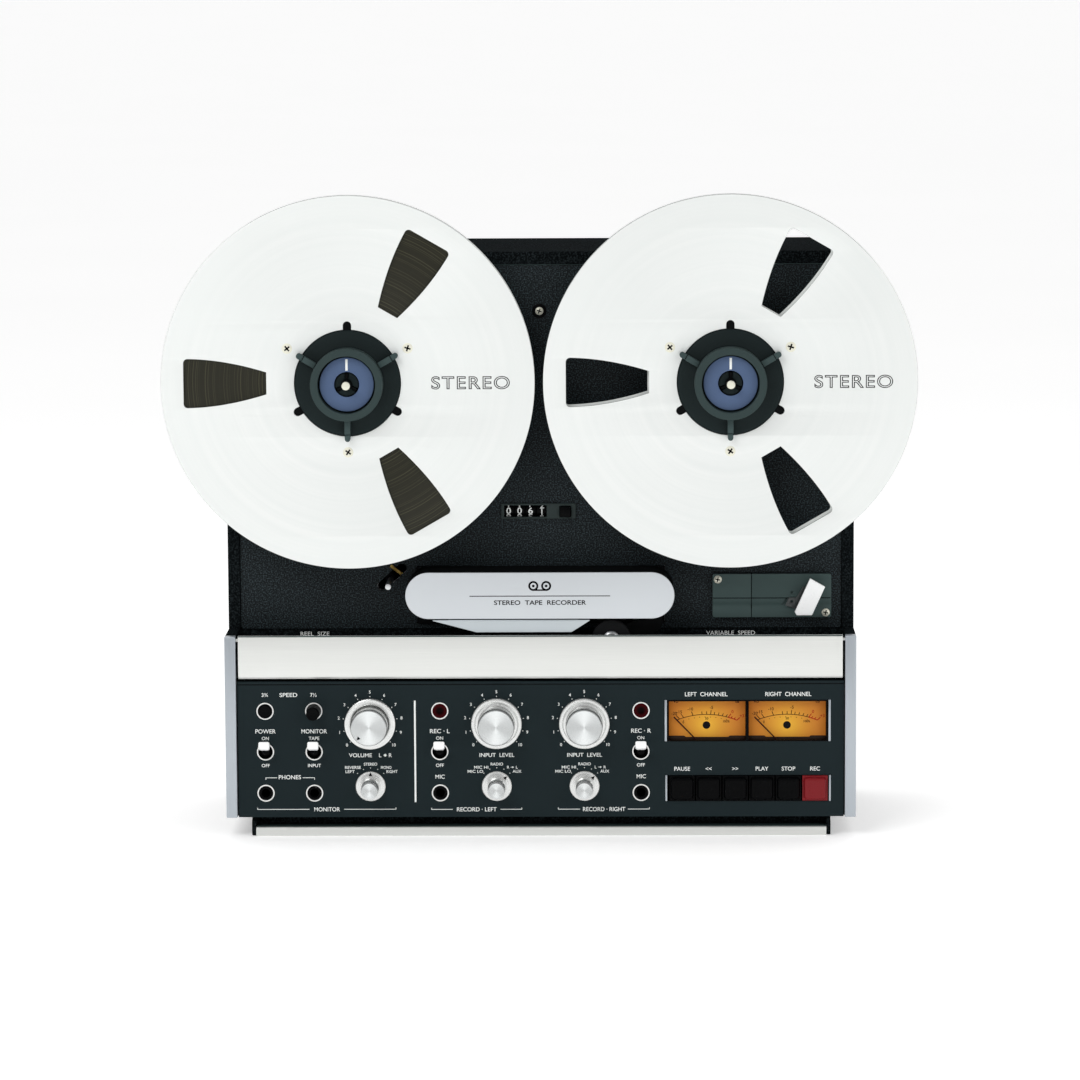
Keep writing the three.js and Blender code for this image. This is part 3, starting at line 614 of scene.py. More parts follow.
# The knob faces carry a painted highlight, in two lighter and two darker lobes round each knob's axis.
KNOB = spun("knob_spun", (0.66, 0.68, 0.68), 0.22, anisotropic=0.9, painted_highlight=0.22)
KNOB_SIDE = spun("knob_side", (0.78, 0.79, 0.78), 0.24, 0.75)
BEZEL = spun("bezel_metal", (0.86, 0.86, 0.84), 0.36, 0.5)
CUTTER = satin("cutter_steel", (0.07, 0.076, 0.076), 0.6, 0.4)
STEEL = spun("ground_steel", (0.62, 0.63, 0.64), 0.28, 1.0, 0.3)
ADAPTER = moulded("adapter_green", (0.0085, 0.0145, 0.015), 0.62, 0.0009, 0.00012, 0.1, 0.9)
LOCK = moulded("lock_green", (0.028, 0.045, 0.0445), 0.6, 0.0005, specular=0.15)
LOCK_ARM = moulded("lock_arm_green", (0.042, 0.066, 0.0655), 0.6, 0.0005, specular=0.15)
INSERT = moulded("insert_blue", (0.078, 0.122, 0.225), 0.5, 0.0004, specular=0.2, strength=0.25)
TAPE = wound_tape()
BLACK = moulded("black_gloss", (0.0012, 0.0013, 0.0016), 0.3, 0.004, 0.00002, 0.05, 0.04)
BLACK_DULL = moulded("black_dull", (0.0026, 0.0031, 0.0034), 0.7, specular=0.06)
WHITE = moulded("white_gloss", (0.96, 0.97, 0.97), 0.3, 0.0015, 0.00002, 0.45, 0.15)
RED = moulded("red_gloss", (0.19, 0.0075, 0.011), 0.32, 0.0012, 0.00002, 0.2, 0.2)
RUBBER = moulded("roller_rubber", (0.004, 0.0044, 0.005), 0.75, 0.0003, 0.00005, specular=0.15)
SPLICE = satin("splice_green", (0.048, 0.077, 0.075), 0.1, 0.5, 0.2, 0.0005)
IRON = moulded("motor_iron", (0.1, 0.105, 0.11), 0.55, 0.0009, 0.0001, 0.5)
CHASSIS = brushed("chassis_alloy", (0.55, 0.56, 0.57), "X", 0.9, 0.4)
DIAL = lit_dial()
LENS = lamp_lens()
SCREW = spun("screw_cream", (0.8, 0.79, 0.67), 0.42, 0.45)
BRASS = spun("screw_brass", (0.6, 0.42, 0.12), 0.35, 0.9)
INK_WHITE = ink("ink_white", (0.92, 0.95, 0.93))
INK_BLACK = ink("ink_black", (0.004, 0.004, 0.005))
INK_RED = ink("ink_red", (0.4, 0.012, 0.01))
MASK = moulded("dial_mask", (0.022, 0.009, 0.004), 0.4, 0.0015, 0.00002, 0.2, 0.15)
NEEDLE = ink("needle_brown", (0.03, 0.007, 0.005))
COUNTER = satin("counter_green", (0.022, 0.034, 0.033), 0.0, 0.5, 0.2)
SOCKET_RED = moulded("socket_red", (0.42, 0.02, 0.02), 0.35, 0.001, 0.00002, 0.4, 0.2)
FLOOR = floor_paint()


def repaint(node, material):
    """Gives a CAD node a material of its own."""
    item = frame["nodes"][node]
    item.data.materials.clear()
    item.data.materials.append(material)
    return item


def soften(node, material, width=0.0):
    """Keeps a CAD node, with its facets joined, its edges rounded and a material of its own."""
    item = repaint(node, material)
    item.modifiers.new("weld", "WELD").merge_threshold = 1e-6
    flat = item.modifiers.new("flat", "DECIMATE")
    flat.decimate_type = "DISSOLVE"
    flat.angle_limit = math.radians(0.5)
    if width:
        edges = item.modifiers.new("edges", "BEVEL")
        edges.width = width * MM
        edges.segments = 2
        edges.limit_method = "ANGLE"
        edges.angle_limit = math.radians(40)
        edges.use_clamp_overlap = True
        edges.harden_normals = True


# ---- Reels ----
REEL_RADIUS = (limits("right_front_flange")[1].x - limits("right_front_flange")[0].x) / 2
HUB_HOLE = 38.1
HUB_RADIUS = 57.0
FLANGE_SCREWS = 49.6  # from the reel's axis
INSERT_FACE = -3.0
FLANGE_FACE = 7.5  # every depth of a reel, adapter and spindle is counted from this much before it
NOTCH_WIDTH, NOTCH_TIP = 5.8, 44.0
NOTCH_ANGLES = (0, 120, 240)
LOCK_ANGLES = (60, 180, 300)
WINDOW_ANGLES = (30, 150, 270)


def notched_hole():
    """The hub's hole with its three drive notches."""
    points = []
    half = NOTCH_WIDTH / 2
    step_in = math.degrees(math.asin(half / HUB_HOLE))
    straight = math.sqrt(HUB_HOLE**2 - half**2)
    for angle in NOTCH_ANGLES:
        notch = [(-half, straight), *half_circle(half, NOTCH_TIP - half), (half, straight)]
        points += turned_outline(notch, angle)
        steps = 30
        first, last = angle + step_in, angle + 120 - step_in
        points += [polar(HUB_HOLE, first + (last - first) * i / steps) for i in range(1, steps)]
    return points


def reel_window():
    """A window pointing up: a straight inner edge, swelling sides and rounded outer corners."""
    inner, outer, inner_half, outer_half, bulge, corner = 58.0, 117.0, 7.85, 17.5, 4.4, 3.0
    middle_z, middle_half = (inner + outer) / 2, (inner_half + outer_half) / 2 + bulge
    side = []
    for i in range(17):
        t = i / 16
        x = inner_half * (1 - t) ** 2 + middle_half * 2 * t * (1 - t) + outer_half * t**2
        z = inner * (1 - t) ** 2 + middle_z * 2 * t * (1 - t) + (outer - corner) * t**2
        side.append((x, z))
    turn = [polar(corner, 90 - a) for a in range(15, 91, 15)]
    side += [(outer_half - corner + x, outer - corner + z) for x, z in turn]
    return side + [(-x, z) for x, z in reversed(side)]


def flange(front, back, shift=(0, 0)):
    """A reel's flange. The shift is how far its windows are out of line with the other flange's."""
    outlines = [circle(REEL_RADIUS, sides=256), notched_hole()]
    for angle in WINDOW_ANGLES:
        outlines.append([(x + shift[0], z + shift[1]) for x, z in turned_outline(reel_window(), angle)])
    return plate(outlines, front, back, 0.3, 2)


def screw_cross(radius, front, back, spare=0.0):
    """Two crossed bars, as long and as wide as a screw's recess, less the spare room."""
    arm, half = radius * 0.62 - spare, radius * 0.16 - spare
    return [box((-x, x), (front, back), (-z, z), 0) for x, z in ((arm, half), (half, arm))]


def add_screw(name, radius, height, body, at, turn, facing=0):
    """A raised screw head whose cross recess has a black floor as painted shade. Its back is at the place
    given.
    """
    dome = [(0, -height), (radius * 0.5, -height * 0.94), (radius * 0.82, -height * 0.7)]
    head = turned([*dome, (radius, -height * 0.25), (radius, 0), (0, 0)], 48)
    head = carved(head, *screw_cross(radius, -height - 1, -0.3 * height))
    # Painted shade: a black cross at the bottom of the recess.
    floor = joined(*screw_cross(radius, -0.4 * height, -0.15 * height, 0.02))
    for part, bm, look in (("", head, SCREW), ("_recess_shade", floor, INK_BLACK)):
        add(name + part, rotated(rotated(bm, turn), facing, "Z"), look, body, at)


def adapter_base():
    """The adapter's disc, which rises a little to its rim, with the bore for the spindle."""
    profile = [
        (9, INSERT_FACE + 0.6), (19.9, INSERT_FACE + 0.6), (19.9, 4.2), (26.5, 4.3), (35.6, 6.3),
        (37.2, 7.1), (37.8, 7.9), (37.8, 17.2), (9, 17.2),
    ]
    return turned(fillet(profile, 0.25, 3), closed=True)


def adapter_lugs():
    """Three lugs on the adapter's edge, in the notches of the hub."""
    half = NOTCH_WIDTH / 2 - 0.15
    outline = [(-half, 36), *half_circle(half, NOTCH_TIP - half - 0.2), (half, 36)]
    return joined(*(rotated(plate([outline], 7.9, 16.9, 0.3), angle) for angle in NOTCH_ANGLES))


def lock_ring():
    """The ring that the lock's arms grow from, round the adapter's insert."""
    low, high = -9.5, 4.1
    return turned(fillet([(20.5, low), (25.8, low), (25.8, high), (20.5, high)], 0.5, 4), closed=True)


def lock_arms():
    """Three arms from the locking ring to the reel's hub, each with a separate round tip."""
    half = 1.95
    outline = [(-half, 36.5), (half, 36.5), *reversed(half_circle(half, 39.5))]
    parts = []
    for angle in LOCK_ANGLES:
        arm = box((-2.1, 2.1), (-1, 4.2), (26.2, 36), 0.35)
        tip = plate([outline], 0.4, 7.1, 0.3)
        parts.append(rotated(joined(arm, tip), angle))
    return joined(*parts)


def spindle_cap():
    """The ribbed cap round the shaft: three segments with a slot between each two."""
    segment = [polar(8.3, a) for a in range(11, 110, 7)] + [polar(3.6, a) for a in range(104, 15, -8)]
    return joined(*(rotated(plate([segment], -1.6, 2.5, 0.35, 2), angle) for angle in NOTCH_ANGLES))


def spindle():
    """The turntable with its shaft and three driving ribs."""
    profile = [
        (0, -13.7), (2.7, -13.7), (2.7, -5.4), (3.9, -4.2), (3.9, 17.8), (39.9, 17.8), (39.9, 23),
        (14, 26), (12, 40), (5, 40), (5, 87.9), (0, 87.9),
    ]
    ribs = [rotated(box((-0.9, 0.9), (-2.9, 18.5), (3, 7.9), 0.25), a) for a in NOTCH_ANGLES]
    return joined(turned(round_profile(profile, 0.3)), *ribs)


def outlined_word(word, cap, width):
    """The outlines of a word's letters, as fine lines on the plane Y = 0, centred on the origin."""
    curve = bpy.data.curves.new("outlined", "FONT")
    curve.body = word
    curve.size = cap / CAP_SHARE
    curve.align_x = "CENTER"
    curve.space_character = 1.15
    curve.fill_mode = "NONE"
    curve.bevel_depth = 0.3
    curve.bevel_resolution = 0
    bm = from_curve(curve, Matrix.Rotation(math.pi / 2, 4, "X"))
    places = [v.co.x for v in bm.verts]
    bmesh.ops.scale(bm, vec=(width / (max(places) - min(places)), 0.4, 1), verts=bm.verts)
    return moved(bm, 0, 0, -cap / 2)


def build_reel(side, with_tape):
    body = side + "_reel"
    axis = middle(side + "_front_flange")
    front_low, front_high = limits(side + "_front_flange")
    rear = limits(side + "_reel_hub")[1].y
    depth = front_low.y - FLANGE_FACE
    at = (axis.x, depth, axis.z)
    thickness = front_high.y - front_low.y
    flange_back = FLANGE_FACE + thickness
    add(side + "_flange_front", flange(FLANGE_FACE, flange_back), REEL, body, at,
        replaces=[side + "_front_flange"])
    rear_face = rear - depth
    hub = plate([circle(HUB_RADIUS), notched_hole()], flange_back + GAP, rear_face - thickness + 0.2)
    rear_flange = flange(rear_face - thickness, rear_face, (-1, 0.9))
    add(side + "_reel_body", joined(rear_flange, hub), REEL, body, at, replaces=[side + "_reel_hub"])
    word = moved(outlined_word("STEREO", 8.6, 56), 87.7, FLANGE_FACE, 0)
    add(side + "_flange_mark", word, INK_BLACK, body, at)
    for number, angle in enumerate(LOCK_ANGLES, 1):
        x, z = polar(FLANGE_SCREWS, angle)
        place = (at[0] + x, depth + FLANGE_FACE + 0.05, at[2] + z)
        add_screw(f"{side}_flange_screw_{number}", 3.7, 0.5, body, place, 17 * number)
    add(side + "_adapter_disc", adapter_base(), ADAPTER, body, at, replaces=[side + "_adapter"])
    add(side + "_adapter_lugs", adapter_lugs(), BLACK_DULL, body, at)
    face = INSERT_FACE
    rim = [(8.9, face), (19.1, face), (19.5, face + 0.65), (8.9, face + 0.65)]
    insert = turned(fillet(rim, 0.25, 3), closed=True)
    add(side + "_adapter_insert", insert, INSERT, body, at)
    tick = plate([rectangle(-0.85, 0.85, 9.9, 18.1, 0.3)], face - 0.06, face + 0.1, 0.03)
    add(side + "_adapter_tick", tick, INK_WHITE, body, at)
    add(side + "_turntable", spindle(), BLACK_DULL, body, at, replaces=[side + "_spindle"])
    add(side + "_spindle_cap", spindle_cap(), ADAPTER, body, at)
    tip = round_profile([(0, -15.6), (2.2, -15.5), (3, -14.9), (3, -13.6), (0, -13.6)], 0.2)
    add(side + "_spindle_tip", turned(tip, 48), SCREW, body, at)
    lock = side + "_lock"
    add(side + "_lock_ring", lock_ring(), LOCK, lock, at, replaces=[side + "_adapter_lock"])
    add(side + "_lock_arms", lock_arms(), LOCK_ARM, lock, at)
    if with_tape:
        low, high = limits(side + "_tape_pack")
        radius = (high.x - low.x) / 2
        pack = ring(HUB_RADIUS + 0.3, radius, low.y - depth, high.y - depth, 0.2, 256)
        add(side + "_wound_tape", pack, TAPE, body, at, replaces=[side + "_tape_pack"])


# ---- Head block, head cover and tape guides ----
def build_head_block():
    low, high = limits("head_block")
    base_front = high.y - 6
    capstan, pinch_pivot = middle("capstan_shaft"), (82.0, 153.0)
    outline = rectangle(low.x, high.x, low.z, high.z, 1)
    holes = [circle(6.5, capstan.x, capstan.z, 48), circle(3.3, *pinch_pivot, 32)]
    base = plate([outline, *holes], base_front, high.y, 0.3)
    add("head_base", base, BLACK_DULL, replaces=["head_block"])
    face = low.y
    for name, x, width in (("erase", -46, 24), ("record", -12, 20), ("play", 20, 20)):
        half = width / 2
        shape = [
            (x - half, 187), (x - half, 171), (x - half / 2, 165.7), (x + half / 2, 165.7),
            (x + half, 171), (x + half, 187),
        ]
        head = plate([fillet(shape, [0.5, 3, 6, 6, 3, 0.5])], face, base_front - GAP, 0.4)
        add(name + "_head", head, STEEL)
    for name, x, z in (("left", -76, 170), ("right", 80, 172)):
        depth = base_front - GAP - face
        profile = [
            (0, 0), (3.2, 0), (3.2, 0.9), (2.5, 1.2), (2.5, 7.6), (3.2, 7.9), (3.2, depth), (0, depth),
        ]
        guide = turned(round_profile(profile, 0.15), 48)
        add(name + "_tape_guide", guide, STEEL, at=(x, face, z))


def build_head_cover():
    """The printed face, and a dark skirt round its upper part only."""
    low, high = limits("head_cover")
    half, wall = high.x, 1.8
    face = plate([stadium(half, low.z, high.z)], low.y, low.y + 2, 0.55, 3)
    centre = (low.z + high.z) / 2 + 4.2
    outer = [p for p in stadium(half, low.z, high.z) if p[1] > centre]
    inner = [p for p in stadium(half - wall, low.z + wall, high.z - wall) if p[1] > centre]
    skirt = [*sorted(outer, key=lambda p: p[0]), *sorted(inner, key=lambda p: -p[0])]
    add("head_cover_face", face, HEAD_SILVER, replaces=["head_cover"])
    add("head_cover_skirt", plate([skirt], low.y + 1.9, high.y, 0.2), BLACK_DULL)
    marks = Markings(low.y)
    line_half = 50.3
    marks.line(-line_half, 174.7, line_half, 174.7, 0.6)
    marks.text("STEREO  TAPE  RECORDER", 0, 170, 3.1, 66, weight=0.08)
    for x in (-4.6, 4.6):
        marks.ring(x, 182, 2.2, 3.6)
        marks.dot(x, 182, 1.0)
    marks.line(-4.6, 179, 4.6, 179, 1.1)
    marks.add("head_cover_print", INK_BLACK, "head_cover_silver")


def build_head_cover_flap():
    low, high = limits("head_cover_flap")
    top = high.z - 0.7
    shape = [(low.x + 1, top), (-45.4, low.z), (22.6, low.z), (high.x - 1, top)]
    sheet = plate([fillet(shape, [0.3, 1.5, 1.5, 0.3])], low.y + 0.4, low.y + 1.8, 0.3)
    hinge = bar(circle(0.9, low.y + 1.1, high.z - 1.4, 24), low.x + 14, high.x - 10, 0.1)
    add("head_cover_lower_flap", joined(sheet, hinge), HEAD_FLAP_SHADED, "head_cover_flap",
        replaces=["head_cover_flap"])


def build_tape_drive():
    at = middle("capstan_shaft")
    low, high = limits("capstan_shaft")
    length = high.y - low.y
    shaft = turned(round_profile([(0, 0), (4.9, 0), (4.9, length - 0.1), (0, length - 0.1)], 0.5), 64)
    add("capstan_rod", shaft, STEEL, "capstan", (at.x, low.y + 0.05, at.z), replaces=["capstan_shaft"])
    at = middle("pinch_roller")
    low, high = limits("pinch_roller")
    width = high.y - low.y
    tyre = [(6.2, 1.1), (13.9, 1.5), (13.9, width - 0.6), (6.2, width - 0.6)]
    tyre = turned(fillet(tyre, 0.5, 3), closed=True)
    add("pinch_tyre", tyre, RUBBER, "pinch_roller", (at.x, low.y, at.z), replaces=["pinch_roller"])
    cap = [(0, 0.1), (4.4, 0.1), (5.9, 1.2), (6.1, 2.3), (0, 2.3)]
    add("pinch_cap", turned(round_profile(cap, 0.4), 64), STEEL, "pinch_roller", (at.x, low.y, at.z))
    soften("pinch_arm", BLACK_DULL, 0.3)


def build_tension_arm():
    """The tape tension pin, its lever behind the deck, and a spring at the slot."""
    low, high = limits("tension_arm")
    x, z = -108.8, 180.8
    pivot_x, pivot_z = -128.9, 203.1
    at = (x, low.y, z)
    length = high.y - low.y
    post = [
        (0, 0), (2.1, 0), (2.1, 0.9), (1.7, 1.3), (1.7, 8.2), (2, 8.6), (2, length - 1), (0, length - 1),
    ]
    pin = turned(round_profile(post, 0.15), 48)
    angle = math.degrees(math.atan2(pivot_x - x, pivot_z - z))
    reach = math.hypot(pivot_x - x, pivot_z - z)
    arm = plate([rectangle(-3.4, 3.4, -3.4, reach + 3.4, 3.3)], length - 2.6, length - 0.1, 0.2)
    arm = rotated(arm, angle)
    add("tension_post", pin, STEEL, "tension_arm", at, replaces=["tension_arm"])
    add("tension_lever", arm, BLACK_DULL, "tension_arm", at)
    wire = []
    for step in range(97):  # twelve turns
        px, pz = polar(1.1, step * 45)
        wire.append((px - 0.2, step * 0.105, pz))
    face = limits("deck_cover")[0].y
    spring = moved(rotated(tube(wire, 0.22), 90, "Z"), -99.4, face - 1.6, 188.6)
    spring = moved(rotated(spring, 38, "Y", (-104, 0, 188.6)), -x, -low.y, -z)
    add("tension_spring", spring, BRASS, "tension_arm", at)


def tube(points, radius):
    """A round wire along a list of (x, y, z) points."""
    curve = bpy.data.curves.new("wire", "CURVE")
    curve.dimensions = "3D"
    curve.bevel_depth = radius
    curve.bevel_resolution = 2
    curve.use_fill_caps = True
    spline = curve.splines.new("POLY")
    spline.points.add(len(points) - 1)
    for point, place in zip(spline.points, points):
        point.co = (*place, 1)
    return from_curve(curve, Matrix.Identity(4))


# ---- Flap, side trims and stand ----
def build_flap():
    low, high = limits("front_flap")
    half = min(high.x, limits("control_panel")[1].x) - 1
    face = low.y
    top, bottom = high.z, low.z
    outline = [
        (face + 2.8, bottom + 0.2), (face + 1.2, bottom), (face, bottom + 1.7), (face, top - 1.3),
        (face + 1.3, top), (face + 4.6, top - 0.6), (face + 5.4, top - 3.2), (face + 4.4, top - 5.6),
        (face + 2.8, top - 6.2),
    ]
    sheet = bar(fillet(outline, 0.35, 3), -half, half, 0.25)
    pin = circle(1.15, face + 3.4, 143, 24)
    pins = [bar(pin, *sorted((side * (half - 1), side * high.x)), 0.1) for side in (-1, 1)]
    add("trough_flap", joined(sheet, *pins), SILVER_X, "front_flap", replaces=["front_flap"])
    # Painted shade: a dark line along the flap's rounded top edge.
    edge = bar(circle(0.42, face + 0.62, top - 0.55, 16), -half + 0.2, half - 0.2, 0.05)
    add("trough_flap_edge_shade", edge, SPLICE, "front_flap")


def build_side_trims():
    for side in ("left", "right"):
        node = side + "_side_trim"
        add(side + "_trim", box_of(node, 0.6), SILVER_Z, replaces=[node])


def build_stand():
    """The folding foot: a silver strip in front, a dark wall behind it, two arms and their pins."""
    low, high = limits("stand_bar")
    inner = high.x - 3
    front = low.y
    outline = [
        (front + 11.4, 0), (front + 0.6, 0), (front, 0.7), (front, 6.1), (front + 0.7, 6.8),
        (front + 11.4, 6.8),
    ]
    strip = bar(fillet(outline, 0.3, 3), -inner, inner, 0.1)
    add("stand_strip", strip, SILVER_X, "stand_bar", replaces=["stand_bar"])
    # Painted shade: a dark green-grey sheet on the strip's top, for the shade and dark reflection under
    # the case.
    shade_ledge = bar(rectangle(front + 1.1, front + 11.3, 6.7, 7.0, 0.1), -inner + 0.2, inner - 0.2, 0.05)
    add("stand_shade_ledge", shade_ledge, SPLICE, "stand_bar")
    parts = [box((-inner, inner), (front + 11.5, front + 15), (0.2, 13.6), 0.3)]
    profile = [
        (front, 0.2), (front + 25, 0.2), (front + 31, 2.4), (front + 31, 13.4), (front + 3, 13.4),
        (front, 9),
    ]
    profile = fillet(profile, [3, 2, 3, 3, 3, 2])
    pin = circle(1.9, front + 25, 8, 24)
    for side in (-1, 1):
        parts.append(bar(profile, *sorted((side * inner, side * high.x)), 0.3))
        parts.append(bar(pin, *sorted((side * 200.5, side * (inner + 1))), 0.2))
    add("stand_arms", joined(*parts), CASE, "stand_bar")


# ---- Splicing block ----
CUTTER_HINGE = (197.6, from_deck_face(33.6), 176.4)
CUTTER_ANGLE = 23


def build_splice():
    low, high = limits("splice_plate")
    front, back = from_deck_face(38), high.y
    split, groove = 152.2, 167.9
    profile = [
        (back, low.z), (front, low.z), (front, 159.6), (front + 0.55, 160.9), (front + 0.7, 162.3),
        (front + 0.55, 163.7), (front, 165), (front, groove - 0.35), (front + 1, groove - 0.35),
        (front + 1, groove + 0.35), (front, groove + 0.35), (front, high.z), (back, high.z),
    ]
    halves = [bar(profile, low.x, split - 0.3, 0.05), bar(profile, split + 0.3, high.x, 0.05)]
    seams = [
        box((low.x + 0.5, high.x - 0.5), (front + 0.3, front + 0.8), (groove - 0.38, groove + 0.38), 0),
        box((split - 0.34, split + 0.34), (front + 0.35, front + 0.85), (low.z + 0.5, high.z - 0.5), 0),
    ]
    add("splicing_seams", joined(*seams), BLACK_DULL)
    rim = plate([rectangle(low.x, high.x, low.z, high.z, 1.6)], front - 1, back + 1, 0)
    body = combined(joined(*halves), [rim], "INTERSECT")
    cut = [(173.2, 162.6), (177, 168.2), (178.6, 168.2), (175.2, 162.6)]
    carve = [
        plate([cut], front - 1, front + 1.6, 0), moved(disc(0.9, -1, 1.6, 0, 24), 181.2, front, 172.2),
    ]
    backing = box((low.x + 1, high.x - 1), (front + 1.4, back - 0.1), (low.z + 1, high.z - 1), 0.2)
    hinges = [rotated(box((x, x + 2.4), (-2.4, 4), (-2, 2), 0.3), CUTTER_ANGLE) for x in (-5.8, 3.4)]
    hinges = [moved(hinge, *CUTTER_HINGE) for hinge in hinges]
    whole = joined(carved(body, *carve), backing, *hinges)
    add("splicing_block", whole, SPLICE, replaces=["splice_plate"])
    bracket = [
        (176.6, 162.8), (179.2, 168.4), (184.6, 168.4), (189.4, 176.4), (190.6, 175.6), (184, 159.9),
        (181, 161.2),
    ]
    blade = plate([fillet(bracket, 0.3), circle(0.9, 181.3, 165.6, 24)], front - 1.5, front - 0.3, 0.12)
    add("cutter_bracket", blade, CUTTER)
    for name, x, z in (("left", 127.9, 181.5), ("right", 205.8, 157.3)):
        add_screw(f"splice_screw_{name}", 2.9, 1.1, "root", (x, front, z), 12)


def build_cutter():
    front = limits("cutter_lever")[0].y
    outline = [(184.4, 157), (183, 159.4), (194, 183.8), (204.8, 177.6), (195.4, 157)]
    lever = plate([fillet(outline, 0.5, 4)], front, front + 3.5, 0.5, 3)
    boss = rotated(box((-3.1, 3.1), (-5.6, 2.2), (-2, 2), 0.5), CUTTER_ANGLE)
    boss = moved(boss, *CUTTER_HINGE)
    add("cutter_handle", joined(lever, boss), WHITE, "cutter_lever", replaces=["cutter_lever"])


# ---- Counter ----
DIGIT = 4.3
UNITS_TURN = 7  # the units drum stands this many degrees past its digit


def drum_digits(x, axis, radius, first):
    """The ten digits round one drum, with the first of them facing the front."""
    parts = []
    for step in range(10):
        marks = Markings(-radius)
        digit = (first + step) % 10
        marks.text(str(digit), 0, 0, DIGIT, None if digit == 1 else 3.3, weight=0.1)
        shape = joined(*marks.parts)
        for level in range(-4, 5):
            whole = shape.verts[:] + shape.edges[:] + shape.faces[:]
            bmesh.ops.bisect_plane(shape, geom=whole, plane_co=(0, 0, 0.5 * level), plane_no=(0, 0, 1))
        for v in shape.verts:
            spread = v.co.z / radius
            out = -v.co.y
            v.co.y, v.co.z = -out * math.cos(spread), out * math.sin(spread)
        parts.append(rotated(shape, -36 * step, "X"))
    return moved(joined(*parts), x, axis.y, axis.z)


def build_counter():
    """The housing with its window and button hole, three still drums and the one that turns."""
    low, high = limits("counter_housing")
    units_low, units_high = limits("counter_units_drum")
    axis = middle("counter_units_drum")
    radius = (units_high.z - units_low.z) / 2
    bottom, top = 225.8, 236.8
    window, window_height = (-26.1, 4.6), (226.9, 235.5)
    hole, hole_height = (13.9, 22.3), (226.9, 234.9)
    deck = limits("deck_cover")[0].y
    button_depth = (deck - 2, deck + 16)
    outlines = [
        rectangle(low.x, high.x, bottom, top, 0.8), rectangle(*window, *window_height, 0.3),
        rectangle(*hole, *hole_height, 0.3),
    ]
    face = plate(outlines, low.y, deck - GAP, 0.3, 2)
    drums = moved(rotated(disc(radius + 0.5, -4.6, 26.1, 0), -90, "Z"), 0, axis.y, axis.z)
    body = carved(
        box((low.x + 1, high.x - 1), (deck - 0.5, high.y), (bottom + 1, top - 1), 0),
        box(window, (deck - 2, axis.y), window_height, 0), box(hole, button_depth, hole_height, 0), drums,
    )
    can = carved(
        box((low.x + 1, high.x - 1), (deck + 2.8, high.y), (low.z, high.z), 0),
        box((-26.1, 5.6), (deck - 2, axis.y + radius), (axis.z - radius, axis.z + radius), 0),
        box(hole, button_depth, hole_height, 0),
    )
    add("counter_case", joined(face, body, can), COUNTER, replaces=["counter_housing"])
    drum_radius = radius - 0.1
    for number, (x, shown) in enumerate(((-22.9, 0), (-15.0, 0), (-7.1, 6)), 1):
        drum = rotated(disc(drum_radius, x - 3.75, x + 3.75, 0.4), -90, "Z")
        add(f"counter_drum_{number}", moved(drum, 0, axis.y, axis.z), BLACK)
        add(f"counter_digits_{number}", drum_digits(x, axis, drum_radius, shown), INK_WHITE)
    drum = rotated(disc(drum_radius, -3.9, 3.9, 0.4), -90, "Z")
    add("counter_drum_units", drum, BLACK, "counter_drum", axis, replaces=["counter_units_drum"])
    digits = drum_digits(0, Vector((0, 0, 0)), drum_radius, 1)
    add("counter_digits_units", rotated(digits, UNITS_TURN, "X"), INK_WHITE, "counter_drum", axis)
    button = box_of("counter_reset_button", 0.5)
    add("counter_reset_key", button, BLACK, "counter_reset", replaces=["counter_reset_button"])


# ---- Controls ----
SWITCHES = ("power_toggle", "monitor_toggle", "record_left_toggle", "record_right_toggle")
KEYS = {
    "pause_key": "PAUSE", "rewind_key": "<<", "forward_key": ">>", "play_key": "PLAY", "stop_key": "STOP",
    "record_key": "REC",
}
PANEL_FACE = limits("control_panel")[0].y
# The grooved rim of a large knob's base, as (radius, depth) from the panel's face.
BASE_RIM = [(18.15, -4.3), (18.15, -1.4), (17.8, -1.2), (17.8, -0.9), (18.15, -0.7), (18.15, -0.3)]


def on_panel(node):
    """Where a node's axis meets the panel's face, and the depth of the node's front from there."""
    place = middle(node)
    return Vector((place.x, PANEL_FACE, place.z)), limits(node)[0].y - PANEL_FACE


def knob_face(radius, front):
    """A disc with a bright chamfer, slightly hollow in the middle."""
    profile = [
        (0, front + 0.12), (radius * 0.6, front + 0.08), (radius - 0.8, front),
        (radius - 0.1, front + 0.55), (radius, front + 1.1), (0, front + 1.1),
    ]
    return turned(profile)


def pointer_mark(name, radius, degrees, depth, body, at):
    """A small printed triangle that points outward."""
    size = 1.5
    points = [(0, radius + size), (size * 0.9, radius - size * 0.8), (-size * 0.9, radius - size * 0.8)]
    mark = plate([turned_outline(points, degrees)], depth - INK, depth + 0.1, INK_EDGE, 0)
    add(name, mark, INK_BLACK, body, at)


def knob_lines(name, body, at, front):
    """The dark gap behind a knob's chamfer, and the turned line on its side."""
    places = ((12.72, 13.12, front + 1.24), (13.0, 13.36, -6.2))
    lines = [ring(inner, outer, depth, depth + 0.3, 0.1, 96) for inner, outer, depth in places]
    add(name + "_lines", joined(*lines), BLACK, body, at)


